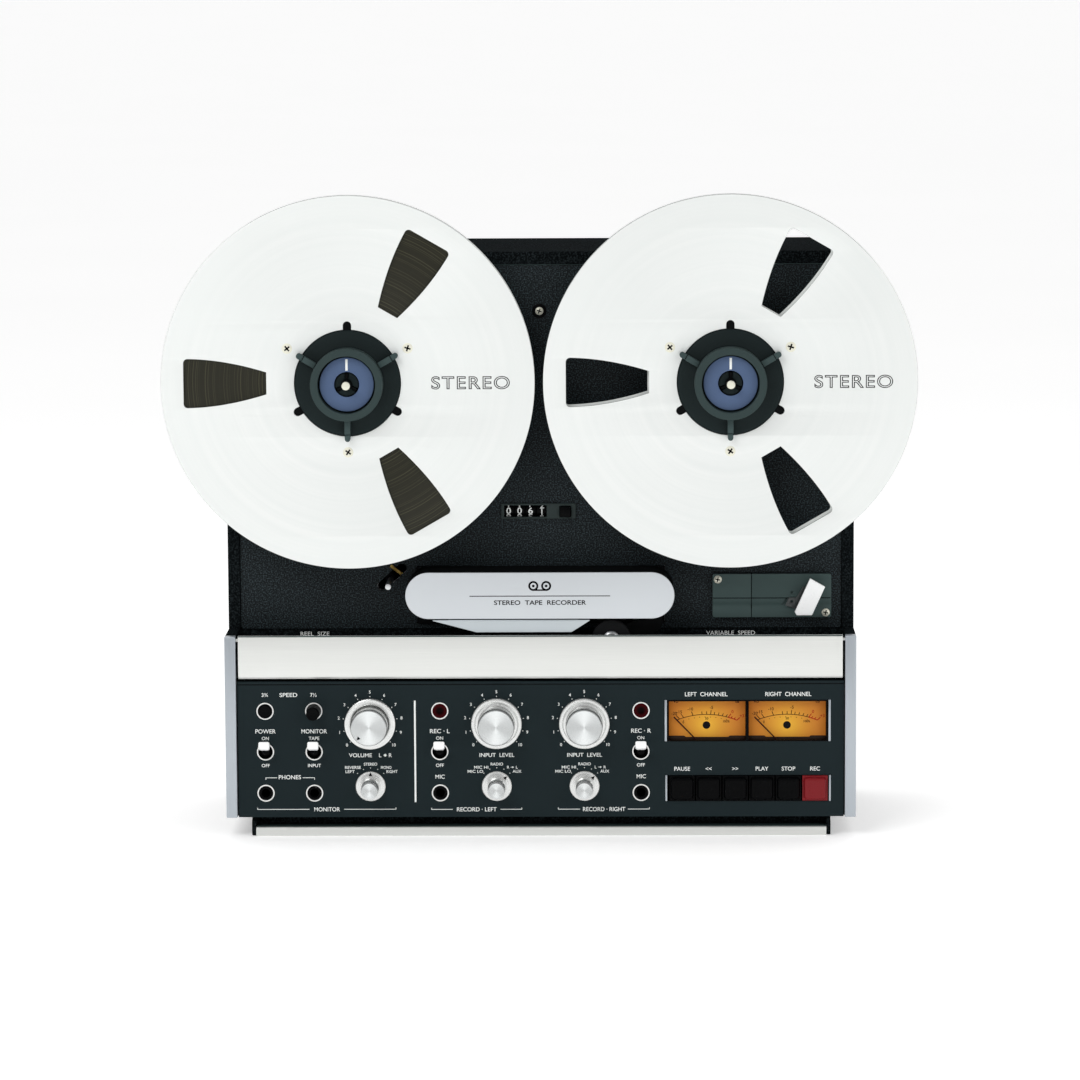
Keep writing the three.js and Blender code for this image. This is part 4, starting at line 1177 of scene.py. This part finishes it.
def build_level_knobs():
    """The two input level knobs on their bases, and the volume knob on the balance ring."""
    base = [(13.25, -4.6), (15.2, -4.6), (15.6, -4.9), (17.5, -4.9), *BASE_RIM, (3, -0.3)]
    for node, body, foot in (
        ("input_left_knob", "input_left", base), ("input_right_knob", "input_right", base),
        ("volume_knob", "volume", [(13.3, -2.1), (3, -2.1)]),
    ):
        at, front = on_panel(node)
        sides = [(0, front + 0.9), (12.3, front + 0.9), (12.95, front + 1.3), *foot, (3, 12), (0, 12)]
        add(node + "_sides", turned(round_profile(sides, 0.12, 2)), KNOB_SIDE, body, at, replaces=[node])
        add(node + "_face", knob_face(12.9, front), KNOB, body, at)
        knob_lines(node, body, at, front)
    # at and front are the volume knob's from here on, and the balance ring shares its axis.
    pointer_mark("volume_pointer", 10.8, 225, front + 0.02, "volume", at)
    hoop = [(14.1, -4.5), (15.2, -4.5), (15.6, -4.5), (17.5, -4.5), *BASE_RIM, (3.5, -0.3), (3.5, -1.5)]
    hoop = turned(fillet([*hoop, (14.1, -1.5)], 0.1, 2), closed=True)
    add("balance_knob", hoop, KNOB_SIDE, "balance", at, replaces=["balance_ring"])


def build_selectors():
    """Small knobs, each with a hole in its side and a printed triangle that show its place."""
    for node, aim in (("mode_selector", 0), ("input_left_selector", 45), ("input_right_selector", 45)):
        at, front = on_panel(node)
        sides = [
            (0, front + 0.9), (5.7, front + 0.9), (6.15, front + 1.2), (6.4, -3.1), (7.2, -3.1),
            (7.3, -2), (10.3, -2), (10.85, -1.4), (10.85, -0.3), (3, -0.3), (3, 12), (0, 12),
        ]
        hole = rotated(disc(0.75, -7, -5, 0, 24), -90, "X")
        hole = rotated(moved(hole, 0, -6.5, 0), aim)
        knob = carved(turned(round_profile(sides, 0.12, 2), 96), hole)
        add(node + "_body", knob, KNOB_SIDE, node, at, replaces=[node])
        add(node + "_face", knob_face(6.1, front), KNOB, node, at)
        pointer_mark(node + "_pointer", 8.9, aim, -2.02, node, at)


def build_speed_buttons():
    for body in ("slow_speed", "fast_speed"):
        node = body + "_button"
        low, high = limits(node)
        length = high.y - low.y
        profile = [(0, 0.35), (3.4, 0.1), (4.1, 0), (4.75, 0.7), (4.75, length), (0, length)]
        at = middle(node)
        at.y = low.y
        add(node + "_cap", turned(round_profile(profile, 0.3), 64), BLACK, body, at, replaces=[node])


def toggle_paddle():
    """The paddle alone, pointing along -Y from the toggle's pivot."""
    sections = []
    for y, half_x, half_z, radius in (
        (-11.8, 2.9, 1.9, 0.9), (-14, 3.5, 2.35, 1.1), (-18, 3.95, 2.7, 1.25), (-20.9, 4.0, 2.75, 1.3),
        (-21.6, 3.75, 2.5, 1.2), (-21.9, 3.2, 2.0, 1.0),
    ):
        outline = rectangle(-half_x, half_x, -half_z, half_z, radius, 4)
        sections.append([(x, y, z) for x, z in outline])
    return loft(sections)


def toggle_stem():
    """The paddle's stem, and the round boot at its pivot."""
    ball = [(4.9 * math.sin(math.radians(a)), -4.9 * math.cos(math.radians(a))) for a in range(0, 181, 9)]
    stem = box((-2.5, 2.5), (-12.4, -3), (-1.8, 1.8), 0.4)
    return joined(turned(ball, 48), stem)


def build_toggles():
    for node in SWITCHES:
        at = joint_place(node)
        add(node + "_paddle", rotated(toggle_paddle(), -20, "X"), WHITE, node, at, replaces=[node])
        add(node + "_stem", rotated(toggle_stem(), -20, "X"), BLACK, node, at)


def key_mesh(width, height):
    """A key's block, with a raised square that has sloped sides and round corners."""
    half = width / 2
    block = box((-half, half), (-1, 13), (-height / 2, height / 2), 0.35)
    sections = []
    for y, reach, radius in (
        (-0.7, 8.35, 2.4), (-1.6, 8.0, 2.3), (-2.7, 7.6, 2.1), (-3.25, 7.3, 2.0), (-3.45, 6.8, 1.8),
        (-3.5, 5.6, 1.4),
    ):
        sections.append([(x, y, z) for x, z in rectangle(-reach, reach, -reach, reach, radius, 6)])
    return joined(block, loft(sections))


def add_trim(name, x, width, z0, z1):
    """An upright silver strip at the end of an opening in the panel."""
    add(name, box((x, x + width), (PANEL_FACE - 0.5, PANEL_FACE + 4), (z0, z1), 0.3), SILVER_Z)


def build_keys():
    for node in KEYS:
        low, high = limits(node)
        look = RED if node == "record_key" else BLACK
        cap = key_mesh(high.x - low.x, high.z - low.z)
        add(node + "_cap", cap, look, node, on_panel(node)[0], replaces=[node])
    bottom, top = 25.7, 44.5
    add_trim("keys_left_trim", 89.55, 1.35, bottom, top)
    add_trim("keys_right_trim", 206.95, 1.35, bottom, top)
    backing = box((89.6, 208.2), (PANEL_FACE + 17.2, PANEL_FACE + 18.2), (bottom, top), 0.1)
    add("keys_backing", backing, BLACK_DULL)


# ---- Panel: bezels, jacks, lamps and markings ----
JACK_PLACES = ((-197.7, 32), (-162.7, 32), (-72.2, 32), (72.2, 32))
LAMP_PLACES = ((-72.2, 91.7), (72.2, 91.7))
BEZEL_INNER, BEZEL_OUTER = 5.25, 6.2


def bezel():
    profile = [(BEZEL_INNER, -0.5), (BEZEL_OUTER, -0.5), (BEZEL_OUTER, 0.02), (BEZEL_INNER, 0.02)]
    return turned(fillet(profile, 0.18, 3), 96, closed=True)


def build_bezels():
    buttons = [middle(name + "_speed_button") for name in ("slow", "fast")]
    places = [(button.x, button.z) for button in buttons]
    places += [(middle(node).x, joint_place(node).z) for node in SWITCHES]
    places += [*JACK_PLACES, *LAMP_PLACES]
    for number, (x, z) in enumerate(places, 1):
        add(f"panel_bezel_{number:02d}", bezel(), BEZEL, at=(x, PANEL_FACE, z))


def build_jacks():
    bush = [(3.3, -0.35), (5.1, -0.35), (5.1, 0.0), (4.5, 0.1), (4.5, 9), (3.3, 9)]
    cup = [(3.35, 9.1), (4.4, 9.1), (4.4, 26), (0, 26), (0, 25), (3.35, 25), (3.35, 9.1)]
    for number, (x, z) in enumerate(JACK_PLACES, 1):
        at = (x, PANEL_FACE, z)
        add(f"jack_bush_{number}", turned(fillet(bush, 0.12, 2), 64, closed=True), BLACK, at=at)
        add(f"jack_barrel_{number}", turned(cup, 48), BLACK_DULL, at=at)
        add(f"jack_contact_{number}", box((-0.7, 0.7), (10, 20), (2.2, 3.1), 0.15), STEEL, at=at)


def build_lamps():
    for side, (x, z) in zip(("left", "right"), LAMP_PLACES):
        profile = [
            (0, -0.25), (1.4, -0.3), (2.2, -0.55), (3.6, -0.95), (4.5, -0.8), (5.1, -0.3), (5.1, 0.02),
            (0, 0.02),
        ]
        add(f"record_lamp_{side}", turned(profile, 64), LENS, at=(x, PANEL_FACE, z))


def dial_marks(marks, x, z):
    """Dots and numbers from 0 to 10 round a level knob."""
    for number in range(11):
        angle = (number - 5) * 26.6
        dx, dz = polar(19.6, angle)
        marks.dot(x + dx, z + dz)
        dx, dz = polar(22.9, angle)
        marks.text(str(number), x + dx, z + dz, 2.1, weight=0.035)


def selector_marks(marks, x, z, words):
    """Dots at a selector's five places, with a label for each."""
    for step in range(-2, 3):
        dx, dz = polar(13.2, step * 22.65)
        marks.dot(x + dx, z + dz, 0.32)
    for label, dx, dz, align, width in words:
        marks.text(label, x + dx, z + dz, 2.0, width, align)


def arrow(marks, x, z):
    """A small arrow to the right, centred on (x, z)."""
    length, tip = 2.6, 1.4
    end = x + length / 2
    marks.line(x - length / 2, z, end - tip * 0.6, z, 0.35)
    marks.shape([[(end, z), (end - tip, z + 0.75), (end - tip, z - 0.75)]])


def build_panel_markings():
    marks = Markings(PANEL_FACE)
    volume, left, right = (middle(n) for n in ("volume_knob", "input_left_knob", "input_right_knob"))
    for knob in (volume, left, right):
        dial_marks(marks, knob.x, knob.z)
    slow, fast = middle("slow_speed_button").x, middle("fast_speed_button").x
    marks.text("3¾", slow, 103.5, 2.6)
    marks.text("SPEED", -180.8, 103.5, 2.8, 12.8)
    marks.text("7½", fast, 103.5, 2.6)
    for x, name, width, on, off in (
        (slow, "POWER", 14.6, "ON", "OFF"), (fast, "MONITOR", 18.4, "TAPE", "INPUT"),
        (-72.4, "REC · L", 14.2, "ON", "OFF"), (72, "REC · R", 14.2, "ON", "OFF"),
    ):
        marks.text(name, x, 77, 2.9, width)
        marks.text(on, x, 71.9, 2.3)
        marks.text(off, x, 52.1, 2.3)
    marks.text("PHONES", -180.5, 43.6, 2.9, 16)
    marks.bracket(slow, fast, 43.2, (-189.6, -171.2), -1.4)
    marks.text("MONITOR", -154, 20.1, 2.9, 18.6)
    marks.bracket(-203.9, -104.3, 20.1, (-166.6, -141.6), 1.2)
    marks.text("VOLUME", -129.4, 59.5, 2.7, 16.5)
    marks.text("L", -115.4, 59.5, 2.7)
    marks.shape([[(-113, 59.5), (-111.7, 60.7), (-110.4, 59.5), (-111.7, 58.3)]])
    marks.text("R", -108.1, 59.5, 2.7)
    marks.line(-90.1, 25.2, -90.1, 99.2, 1.25)
    selector = middle("mode_selector")
    selector_marks(marks, selector.x, selector.z, (
        ("LEFT", -11.4, 10.6, "RIGHT", 6.6), ("REVERSE", -6.9, 13.6, "RIGHT", 11.4),
        ("STEREO", 0, 16, "CENTER", 9.6), ("MONO", 7.3, 13.6, "LEFT", 7.6),
        ("RIGHT", 11.2, 10.6, "LEFT", 8),
    ))
    for knob, name, crossed, label_x, width, ends in (
        (left, "LEFT", "RL", -46.2, 28.6, (-78.6, -13.7)), (right, "RIGHT", "LR", 45.4, 30.4, (12.6, 78)),
    ):
        marks.text("INPUT  LEVEL", knob.x, 59.5, 2.7, 25)
        selector_marks(marks, knob.x, selector.z, (
            ("MIC LO", -9.7, 10.6, "RIGHT", 11.2), ("MIC HI", -5.9, 13.6, "RIGHT", 10.2),
            ("RADIO", 0, 15.9, "CENTER", 8.9), (crossed[0], 7.2, 13.6, "LEFT", None),
            (crossed[1], 13.6, 13.6, "LEFT", None), ("AUX", 11.4, 10.6, "LEFT", 6.4),
        ))
        arrow(marks, knob.x + 11.2, selector.z + 13.6)
        marks.text("RECORD · " + name, label_x, 19.9, 2.9, width)
        marks.bracket(*ends, 19.9, (label_x - 17.2, label_x + 17.2), 1.2)
    for x in (-72.4, 72.2):
        marks.text("MIC", x, 43.8, 2.8)
    marks.text("LEFT  CHANNEL", 118.8, 103.4, 2.9, 30.5)
    marks.text("RIGHT  CHANNEL", 177.6, 103.4, 2.9, 33)
    for node, word in KEYS.items():
        marks.text(word, middle(node).x, 49.2, 2.8)
    marks.add("panel_print", INK_WHITE, "panel_paint")


def build_panel_rail():
    """The panel's top edge, which is folded forward a little and leaves a dark line under it."""
    low, high = limits("control_panel")
    span, top = (low.x + 0.2, high.x - 0.2), high.z
    rail = box(span, (low.y - 0.7, low.y + 0.02), (top - 1.9, top - 0.02), 0.3)
    add("panel_rail", rail, PANEL)
    seam = box(span, (low.y - 0.12, low.y + 0.02), (top - 2.6, top - 1.9), 0.03)
    add("panel_rail_seam", seam, BLACK_DULL)


# ---- Meters ----
DIAL_Z = 79.8  # height of the spot that covers the needle's pivot


def dial_scale(x, lean_z, face, side):
    """Black and red markings of one dial. The arc's centre is far below the needle's pivot."""
    black, red = Markings(face), Markings(face)
    arc_radius, arc_z = 57.3, 30.3

    def on_arc(dx, radius=arc_radius):
        height = math.sqrt(arc_radius**2 - dx**2)
        return x + dx * radius / arc_radius, arc_z + height * radius / arc_radius

    def arc(marks, start, end, width):
        steps = 20
        places = [start + (end - start) * i / steps for i in range(steps + 1)]
        outer = [on_arc(dx, arc_radius + width / 2) for dx in places]
        inner = [on_arc(dx, arc_radius - width / 2) for dx in reversed(places)]
        marks.shape([outer + inner])

    def tick(marks, dx, length, label, width, gap, cap):
        """A tick that leans outward, with its label beyond it."""
        px, pz = on_arc(dx)
        lean = Vector((px - x, pz - lean_z)).normalized()
        end = lean * length
        marks.line(px, pz, px + end.x, pz + end.y, width)
        if label:
            end = lean * (length + gap)
            marks.text(label, px + end.x, pz + end.y, cap)

    arc(black, -21.8, 15.6, 0.45)
    arc(red, 15.6, 21.8, 0.6)
    for dx, length, label in (
        (-19.3, 3.6, "-20"), (-16.3, 3.2, "-15"), (-9.6, 3.1, "-10"), (-3.1, 2.2, ""), (0.1, 2.2, ""),
        (3.0, 3.2, "-5"), (5.5, 2.0, ""), (8.4, 2.0, ""), (11.3, 2.0, ""), (14.0, 2.0, ""),
    ):
        tick(black, dx, length, label, 0.5, 2.0, 2.1)
    for dx, length, label in ((15.7, 3.2, "0"), (17.6, 1.6, ""), (19.7, 1.6, ""), (21.8, 3.0, "+3")):
        tick(red, dx, length, label, 0.6, 1.9, 2.2)
    for step in range(9):
        black.dot(*on_arc(-17.0 + step * 4.0, arc_radius - 1.9), 0.28)
    black.text("0", x - 16.6, 81.9, 1.6)
    black.text("50", x + 0.2, 84.6, 1.6)
    black.text("100%", x + 14.1, 82.5, 1.6)
    black.text("VU", x - 22, 97, 1.9, weight=0.05)
    black.text("dB", x + 22, 97, 1.9, weight=0.05)
    black.shape([circle(2.75, x, DIAL_Z, 48)])
    black.add(f"{side}_dial_print", INK_BLACK, "meter_face")
    red.add(f"{side}_dial_red_print", INK_RED, "meter_face")


def build_meters():
    """Two lit dials behind one frame, each with a mask over the bottom of its dial."""
    soften("meter_unit", BLACK_DULL)
    face = from_deck_face(9.9)
    spans = {"left": (92.3, 147.1), "right": (149.6, 204.8)}
    for side, (x0, x1) in spans.items():
        pivot = joint_place(side + "_needle")
        outline = rectangle(x0 - pivot.x, x1 - pivot.x, 62 - DIAL_Z, 98.4 - DIAL_Z, 0.5)
        add(f"{side}_dial", plate([outline], 0, 0.5, 0.08), DIAL, at=(pivot.x, face, DIAL_Z))
        dial_scale(pivot.x, pivot.z + 2, face, side)
        dip = 0.55 * (pivot.x - x0)
        mask = [
            (x0, 62), (x1, 62), (x1, 72.2), (pivot.x + dip + 2, 72.2), (pivot.x + dip + 0.8, 71.3),
            (pivot.x - dip, 71.3), (pivot.x - dip - 1.2, 72.2), (x0, 72.2),
        ]
        add(f"{side}_dial_mask", plate([mask], face - 0.9, face - 0.3, 0.1), MASK)
    bottom, top = 69.2, 99.2
    divider = box((147.3, 149.4), (PANEL_FACE + 0.4, face + 0.3), (bottom, top), 0.35)
    add("meter_divider", divider, BLACK)
    add_trim("meter_left_trim", 89.1, 1.6, bottom, top)
    add_trim("meter_right_trim", 206.5, 1.6, bottom, top)
    outline, hole = rectangle(90.8, 206.4, bottom, top), rectangle(92.1, 205.1, 69.9, 98.1, 0.4)
    rim = plate([outline, hole], PANEL_FACE + 0.2, PANEL_FACE + 3, 0.2)
    add("meter_frame", rim, BLACK)
    for side in spans:
        repaint(side + "_meter_needle", NEEDLE)


# ---- Case, deck and the trough ----
def build_case():
    """The CAD's own shells, plates and motors, with a finer finish, and the deck's screw."""
    soften("case_shell", CASE, 0.5)
    soften("chassis_plate", CHASSIS)
    soften("deck_cover", DECK, 0.4)
    soften("control_panel", PANEL, 0.25)
    for node in ("left_reel_motor", "right_reel_motor", "capstan_motor", "power_transformer"):
        soften(node, IRON, 0.6)
    low, high = limits("deck_cover")
    # Painted highlight: a thin light line along the deck cover's top edge.
    line = bar(circle(0.3, low.y + 0.15, high.z - 0.2, 12), low.x + 1, high.x - 1, 0.05)
    add("deck_top_highlight_line", line, SPLICE)
    screw_z = 375.8
    add_screw("deck_screw", 2.9, 1.3, "root", (0, low.y - 0.2, screw_z), 20)
    dish = fillet([(3.1, -0.35), (5.2, -0.1), (5.2, 0.02), (3.1, 0.02)], 0.05, 2)
    add("deck_screw_dish", turned(dish, 64, closed=True), BLACK, at=(0, low.y, screw_z))


def build_trough():
    """The words on the wall behind the trough, and the two controls in front of it."""
    marks = Markings(from_deck_face(43))
    marks.text("REEL  SIZE", -163.9, 141.9, 2.9, 20.9, weight=0)
    marks.text("VARIABLE  SPEED", 137.4, 141.9, 2.9, 35.3, weight=0)
    marks.add("trough_print", INK_WHITE, "case_plastic")
    low, high = limits("reel_size_switch")
    lever = box((low.x, high.x), (low.y, low.y + 6.4), (low.z, high.z), 0.8, 3)
    x = middle("reel_size_switch").x
    stem = box((x - 1.4, x + 1.4), (low.y + 6, high.y), (125.8, 128.2), 0.2)
    across, depth = (low.x + 1, high.x - 1), (low.y, low.y + 0.5)
    ribs = [box(across, depth, (z, z + 0.6), 0.1) for z in (124.4, 126.7, 129)]
    add("reel_size_lever", joined(lever, stem, *ribs), BLACK, "reel_size_switch",
        replaces=["reel_size_switch"])
    low, high = limits("vari_speed_knob")
    at = middle("vari_speed_knob")
    at.y = low.y
    length = high.y - low.y
    profile = [(0, 0.2), (4.9, 0), (6.0, 0.6), (6.3, 9.4), (2, 9.5), (2, length), (0, length)]
    knob = turned(round_profile(profile, 0.3), 64)
    flutes = []
    for step in range(16):
        x, z = polar(6.75, step * 22.5)
        flutes.append(moved(disc(0.8, -1, 9, 0, 16), x, 0, z))
    knob = carved(knob, joined(*flutes))
    add("variable_speed_cap", knob, BLACK, "vari_speed", at, replaces=["vari_speed_knob"])


# ---- Back ----
BACK_SHEET = 2.2
BACK_VENTS = {"x": 95, "half": 62, "lowest": 292, "pitch": 11, "height": 3.2, "rows": 6}
BAY = {"x0": -160, "x1": -60, "z0": 36, "z1": 80, "floor": 177, "wall": 1.5}
SOCKETS = {"xs": (-147.5, -122.5, -97.5, -72.5), "zs": (48, 68), "radius": 4.2, "front": 187.5}
INLET = {"x": 170, "z": 48, "half": 12, "half_height": 9, "floor": 175}
SCREW_DISH = 4.3


def back_print(name, words, depth, cap, color):
    """Lettering that reads from behind, as (word, x, z)."""
    marks = Markings(0)
    for word, x, z in words:
        marks.text(word, -x, z, cap, weight=0.05)
    bm = rotated(joined(*marks.parts), 180, "Z")
    add(name, bm, color, at=(0, depth, 0))


def build_back():
    """The rear cover, with its vents and their fins, screws in dishes, and the walls of the bay."""
    low, high = limits("rear_cover")
    back, front = high.y, high.y - BACK_SHEET
    holes, fins = [], []
    for row in range(BACK_VENTS["rows"]):
        z = BACK_VENTS["lowest"] + row * BACK_VENTS["pitch"]
        for x in (-BACK_VENTS["x"], BACK_VENTS["x"]):
            span = (x - BACK_VENTS["half"], x + BACK_VENTS["half"])
            holes.append(rectangle(*span, z, z + BACK_VENTS["height"], 1.4))
            fins.append(box(span, (front - 3.5, front + 0.2), (z - 1.4, z - 0.5), 0.2))
    bay_hole = rectangle(BAY["x0"], BAY["x1"], BAY["z0"], BAY["z1"], 1)
    x, z, half, half_height = (INLET[key] for key in ("x", "z", "half", "half_height"))
    inlet_hole = rectangle(x - half, x + half, z - half_height, z + half_height, 2)
    screws = [(x, z) for x in (low.x + 12, 0, high.x - 12) for z in (low.z + 12, high.z - 12)]
    screws += [(x, middle("rear_cover").z) for x in (low.x + 12, high.x - 12)]
    dishes = [circle(SCREW_DISH, x, z, 48) for x, z in screws]
    outline = rectangle(low.x, high.x, low.z, high.z, 4)
    sheet = plate([outline, *holes, bay_hole, inlet_hole, *dishes], front, back, 0.45, 2)
    wall = BAY["wall"]
    grown = rectangle(BAY["x0"] - wall, BAY["x1"] + wall, BAY["z0"] - wall, BAY["z1"] + wall, 2)
    floor = from_deck_face(BAY["floor"])
    bay = [plate([grown, bay_hole], floor, front + 0.2, 0), plate([grown], floor - wall, floor, 0.1)]
    add("rear_plate", joined(sheet, *bay, *fins), CASE, replaces=["rear_cover"])
    rim = SCREW_DISH + 0.6
    cup = [(0, -1.9), (rim, -1.9), (rim, 0.3), (SCREW_DISH, 0.3), (3.6, -1.1), (0, -1.1)]
    for number, (x, z) in enumerate(screws, 1):
        add(f"rear_dish_{number}", turned(cup, 48), BLACK_DULL, at=(x, front, z))
        add_screw(f"rear_screw_{number}", 2.9, 1.1, "root", (x, front - 1.1, z), 15 * number, 180)


def build_sockets():
    """A metal plate in the bay, with eight round sockets."""
    floor = from_deck_face(BAY["floor"])
    places = [(x, z) for x in SOCKETS["xs"] for z in SOCKETS["zs"]]
    outline = rectangle(BAY["x0"] + 1.5, BAY["x1"] - 1.5, BAY["z0"] + 1.5, BAY["z1"] - 1.5, 1)
    add("socket_plate", plate([outline], floor + GAP, floor + 1, 0.2), CHASSIS)
    height = SOCKETS["front"] - BAY["floor"]
    outer, inner = SOCKETS["radius"], SOCKETS["radius"] - 0.9
    for number, (x, z) in enumerate(places, 1):
        at = (x, floor, z)
        nut = plate([circle(outer + 2.2, sides=6), circle(outer - 0.2, sides=48)], 1.1, 2.4, 0.2)
        shell = [(inner, 1), (outer, 1), (outer, height - 0.5), (outer - 0.4, height), (inner, height)]
        metal = joined(turned(fillet(shell, 0.15, 2), 64, closed=True), nut)
        add(f"socket_shell_{number}", metal, STEEL, at=at)
        core = [(1.1, 1.2), (inner - 0.1, 1.2), (inner - 0.1, height - 1.6), (1.1, height - 1.6)]
        look = WHITE if z == max(SOCKETS["zs"]) else SOCKET_RED
        add(f"socket_core_{number}", turned(fillet(core, 0.2, 2), 48, closed=True), look, at=at)
    words = [(word, x, 58) for word, x in zip(("OUTPUT", "AUX", "RADIO", "INPUT"), SOCKETS["xs"])]
    back_print("socket_print", words, floor + 1, 2.8, INK_BLACK)
    back = limits("rear_cover")[1].y
    words = [("L", BAY["x1"] + 4, 66.7), ("R", BAY["x1"] + 4, 46.7), ("MAINS", INLET["x"], 63)]
    back_print("rear_print", words, back, 3, INK_WHITE)


def build_inlet():
    """The mains inlet: a flanged well with three flat contacts."""
    x, z, half, half_height = (INLET[key] for key in ("x", "z", "half", "half_height"))
    floor, back = from_deck_face(INLET["floor"]), limits("rear_cover")[1].y
    opening = rectangle(-half + 0.6, half - 0.6, -half_height + 0.6, half_height - 0.6, 2)
    mouth = rectangle(-half + 1.8, half - 1.8, -half_height + 1.8, half_height - 1.8, 2)
    depth = back - floor
    shell = [plate([opening, mouth], 0, depth - 0.8, 0.3, 2), plate([opening], -1.5, 0.2, 0.2)]
    add("inlet_shell", joined(*shell), BLACK, at=(x, floor, z))
    places = ((-6.5, -2.5), (0, 3), (6.5, -2.5))
    contacts = [box((dx - 1, dx + 1), (0, 9), (dz - 2, dz + 2), 0.4) for dx, dz in places]
    add("inlet_contacts", joined(*contacts), STEEL, at=(x, floor, z))


# ---- Floor, light and camera ----
def area_light(name, place, aim, size, power):
    data = bpy.data.lights.new(name, "AREA")
    data.shape = "RECTANGLE"
    data.size, data.size_y = size
    data.energy = power
    item = bpy.data.objects.new(name, data)
    bpy.context.scene.collection.objects.link(item)
    item.location = place
    item.rotation_euler = (Vector(aim) - Vector(place)).to_track_quat("-Z", "Y").to_euler()


FRONT_LIGHT, BACK_LIGHT = 0.34, 1.0


def build_studio():
    """A pale floor without an edge, a sky that is brighter behind the deck, and three soft lights."""
    bm = bmesh.new()
    bmesh.ops.create_grid(bm, x_segments=4, y_segments=4, size=60)
    data = bpy.data.meshes.new("floor")
    bm.to_mesh(data)
    bm.free()
    data.materials.append(FLOOR)
    floor = bpy.data.objects.new("floor", data)
    bpy.context.scene.collection.objects.link(floor)
    world = bpy.data.worlds.new("studio")
    world.use_nodes = True
    nodes, links = world.node_tree.nodes, world.node_tree.links
    nodes["Background"].inputs["Color"].default_value = (1, 1, 1, 1)
    split = nodes.new("ShaderNodeSeparateXYZ")
    links.new(nodes.new("ShaderNodeTexCoord").outputs["Generated"], split.inputs[0])
    fade = nodes.new("ShaderNodeMapRange")
    for socket, value in zip(fade.inputs[1:5], (-0.4, 0.6, FRONT_LIGHT, BACK_LIGHT)):
        socket.default_value = value
    links.new(split.outputs["Y"], fade.inputs["Value"])
    links.new(fade.outputs[0], nodes["Background"].inputs["Strength"])
    bpy.context.scene.world = world
    bpy.context.scene.view_settings.view_transform = "Standard"
    aim = (0, 0, 0.22)
    area_light("key", (-0.9, -1.6, 1.5), aim, (1.2, 0.9), 17)
    area_light("fill", (1.5, -1.7, 0.9), aim, (0.9, 1.2), 8)
    area_light("top", (0, 0.3, 2.4), aim, (1.8, 1.0), 8)


def build_camera():
    """Almost straight on and a little above the deck, from the distance that its depth is seen at."""
    distance, elevation, azimuth, roll = 3.4, 7.4, 1.0, 0.29
    target = Vector((0.0002, -0.0735, 0.2139))
    a, e = math.radians(azimuth), math.radians(elevation)
    back = Vector((math.sin(a) * math.cos(e), -math.cos(a) * math.cos(e), math.sin(e)))
    data = bpy.data.cameras.new("camera")
    data.sensor_width = 36
    data.lens = 158.3
    data.clip_end = 50
    camera = bpy.data.objects.new("camera", data)
    bpy.context.scene.collection.objects.link(camera)
    camera.location = target + back * distance
    level = (-back).to_track_quat("-Z", "Y")
    camera.rotation_euler = (Quaternion(back, math.radians(-roll)) @ level).to_euler()
    bpy.context.scene.camera = camera


build_camera()
build_studio()
build_case()
build_trough()
build_side_trims()
build_flap()
build_stand()
build_reel("left", True)
build_reel("right", False)
build_head_block()
build_head_cover()
build_head_cover_flap()
build_tape_drive()
build_tension_arm()
build_splice()
build_cutter()
build_counter()
build_level_knobs()
build_selectors()
build_speed_buttons()
build_toggles()
build_keys()
build_bezels()
build_jacks()
build_lamps()
build_panel_rail()
build_panel_markings()
build_meters()
build_back()
build_sockets()
build_inlet()
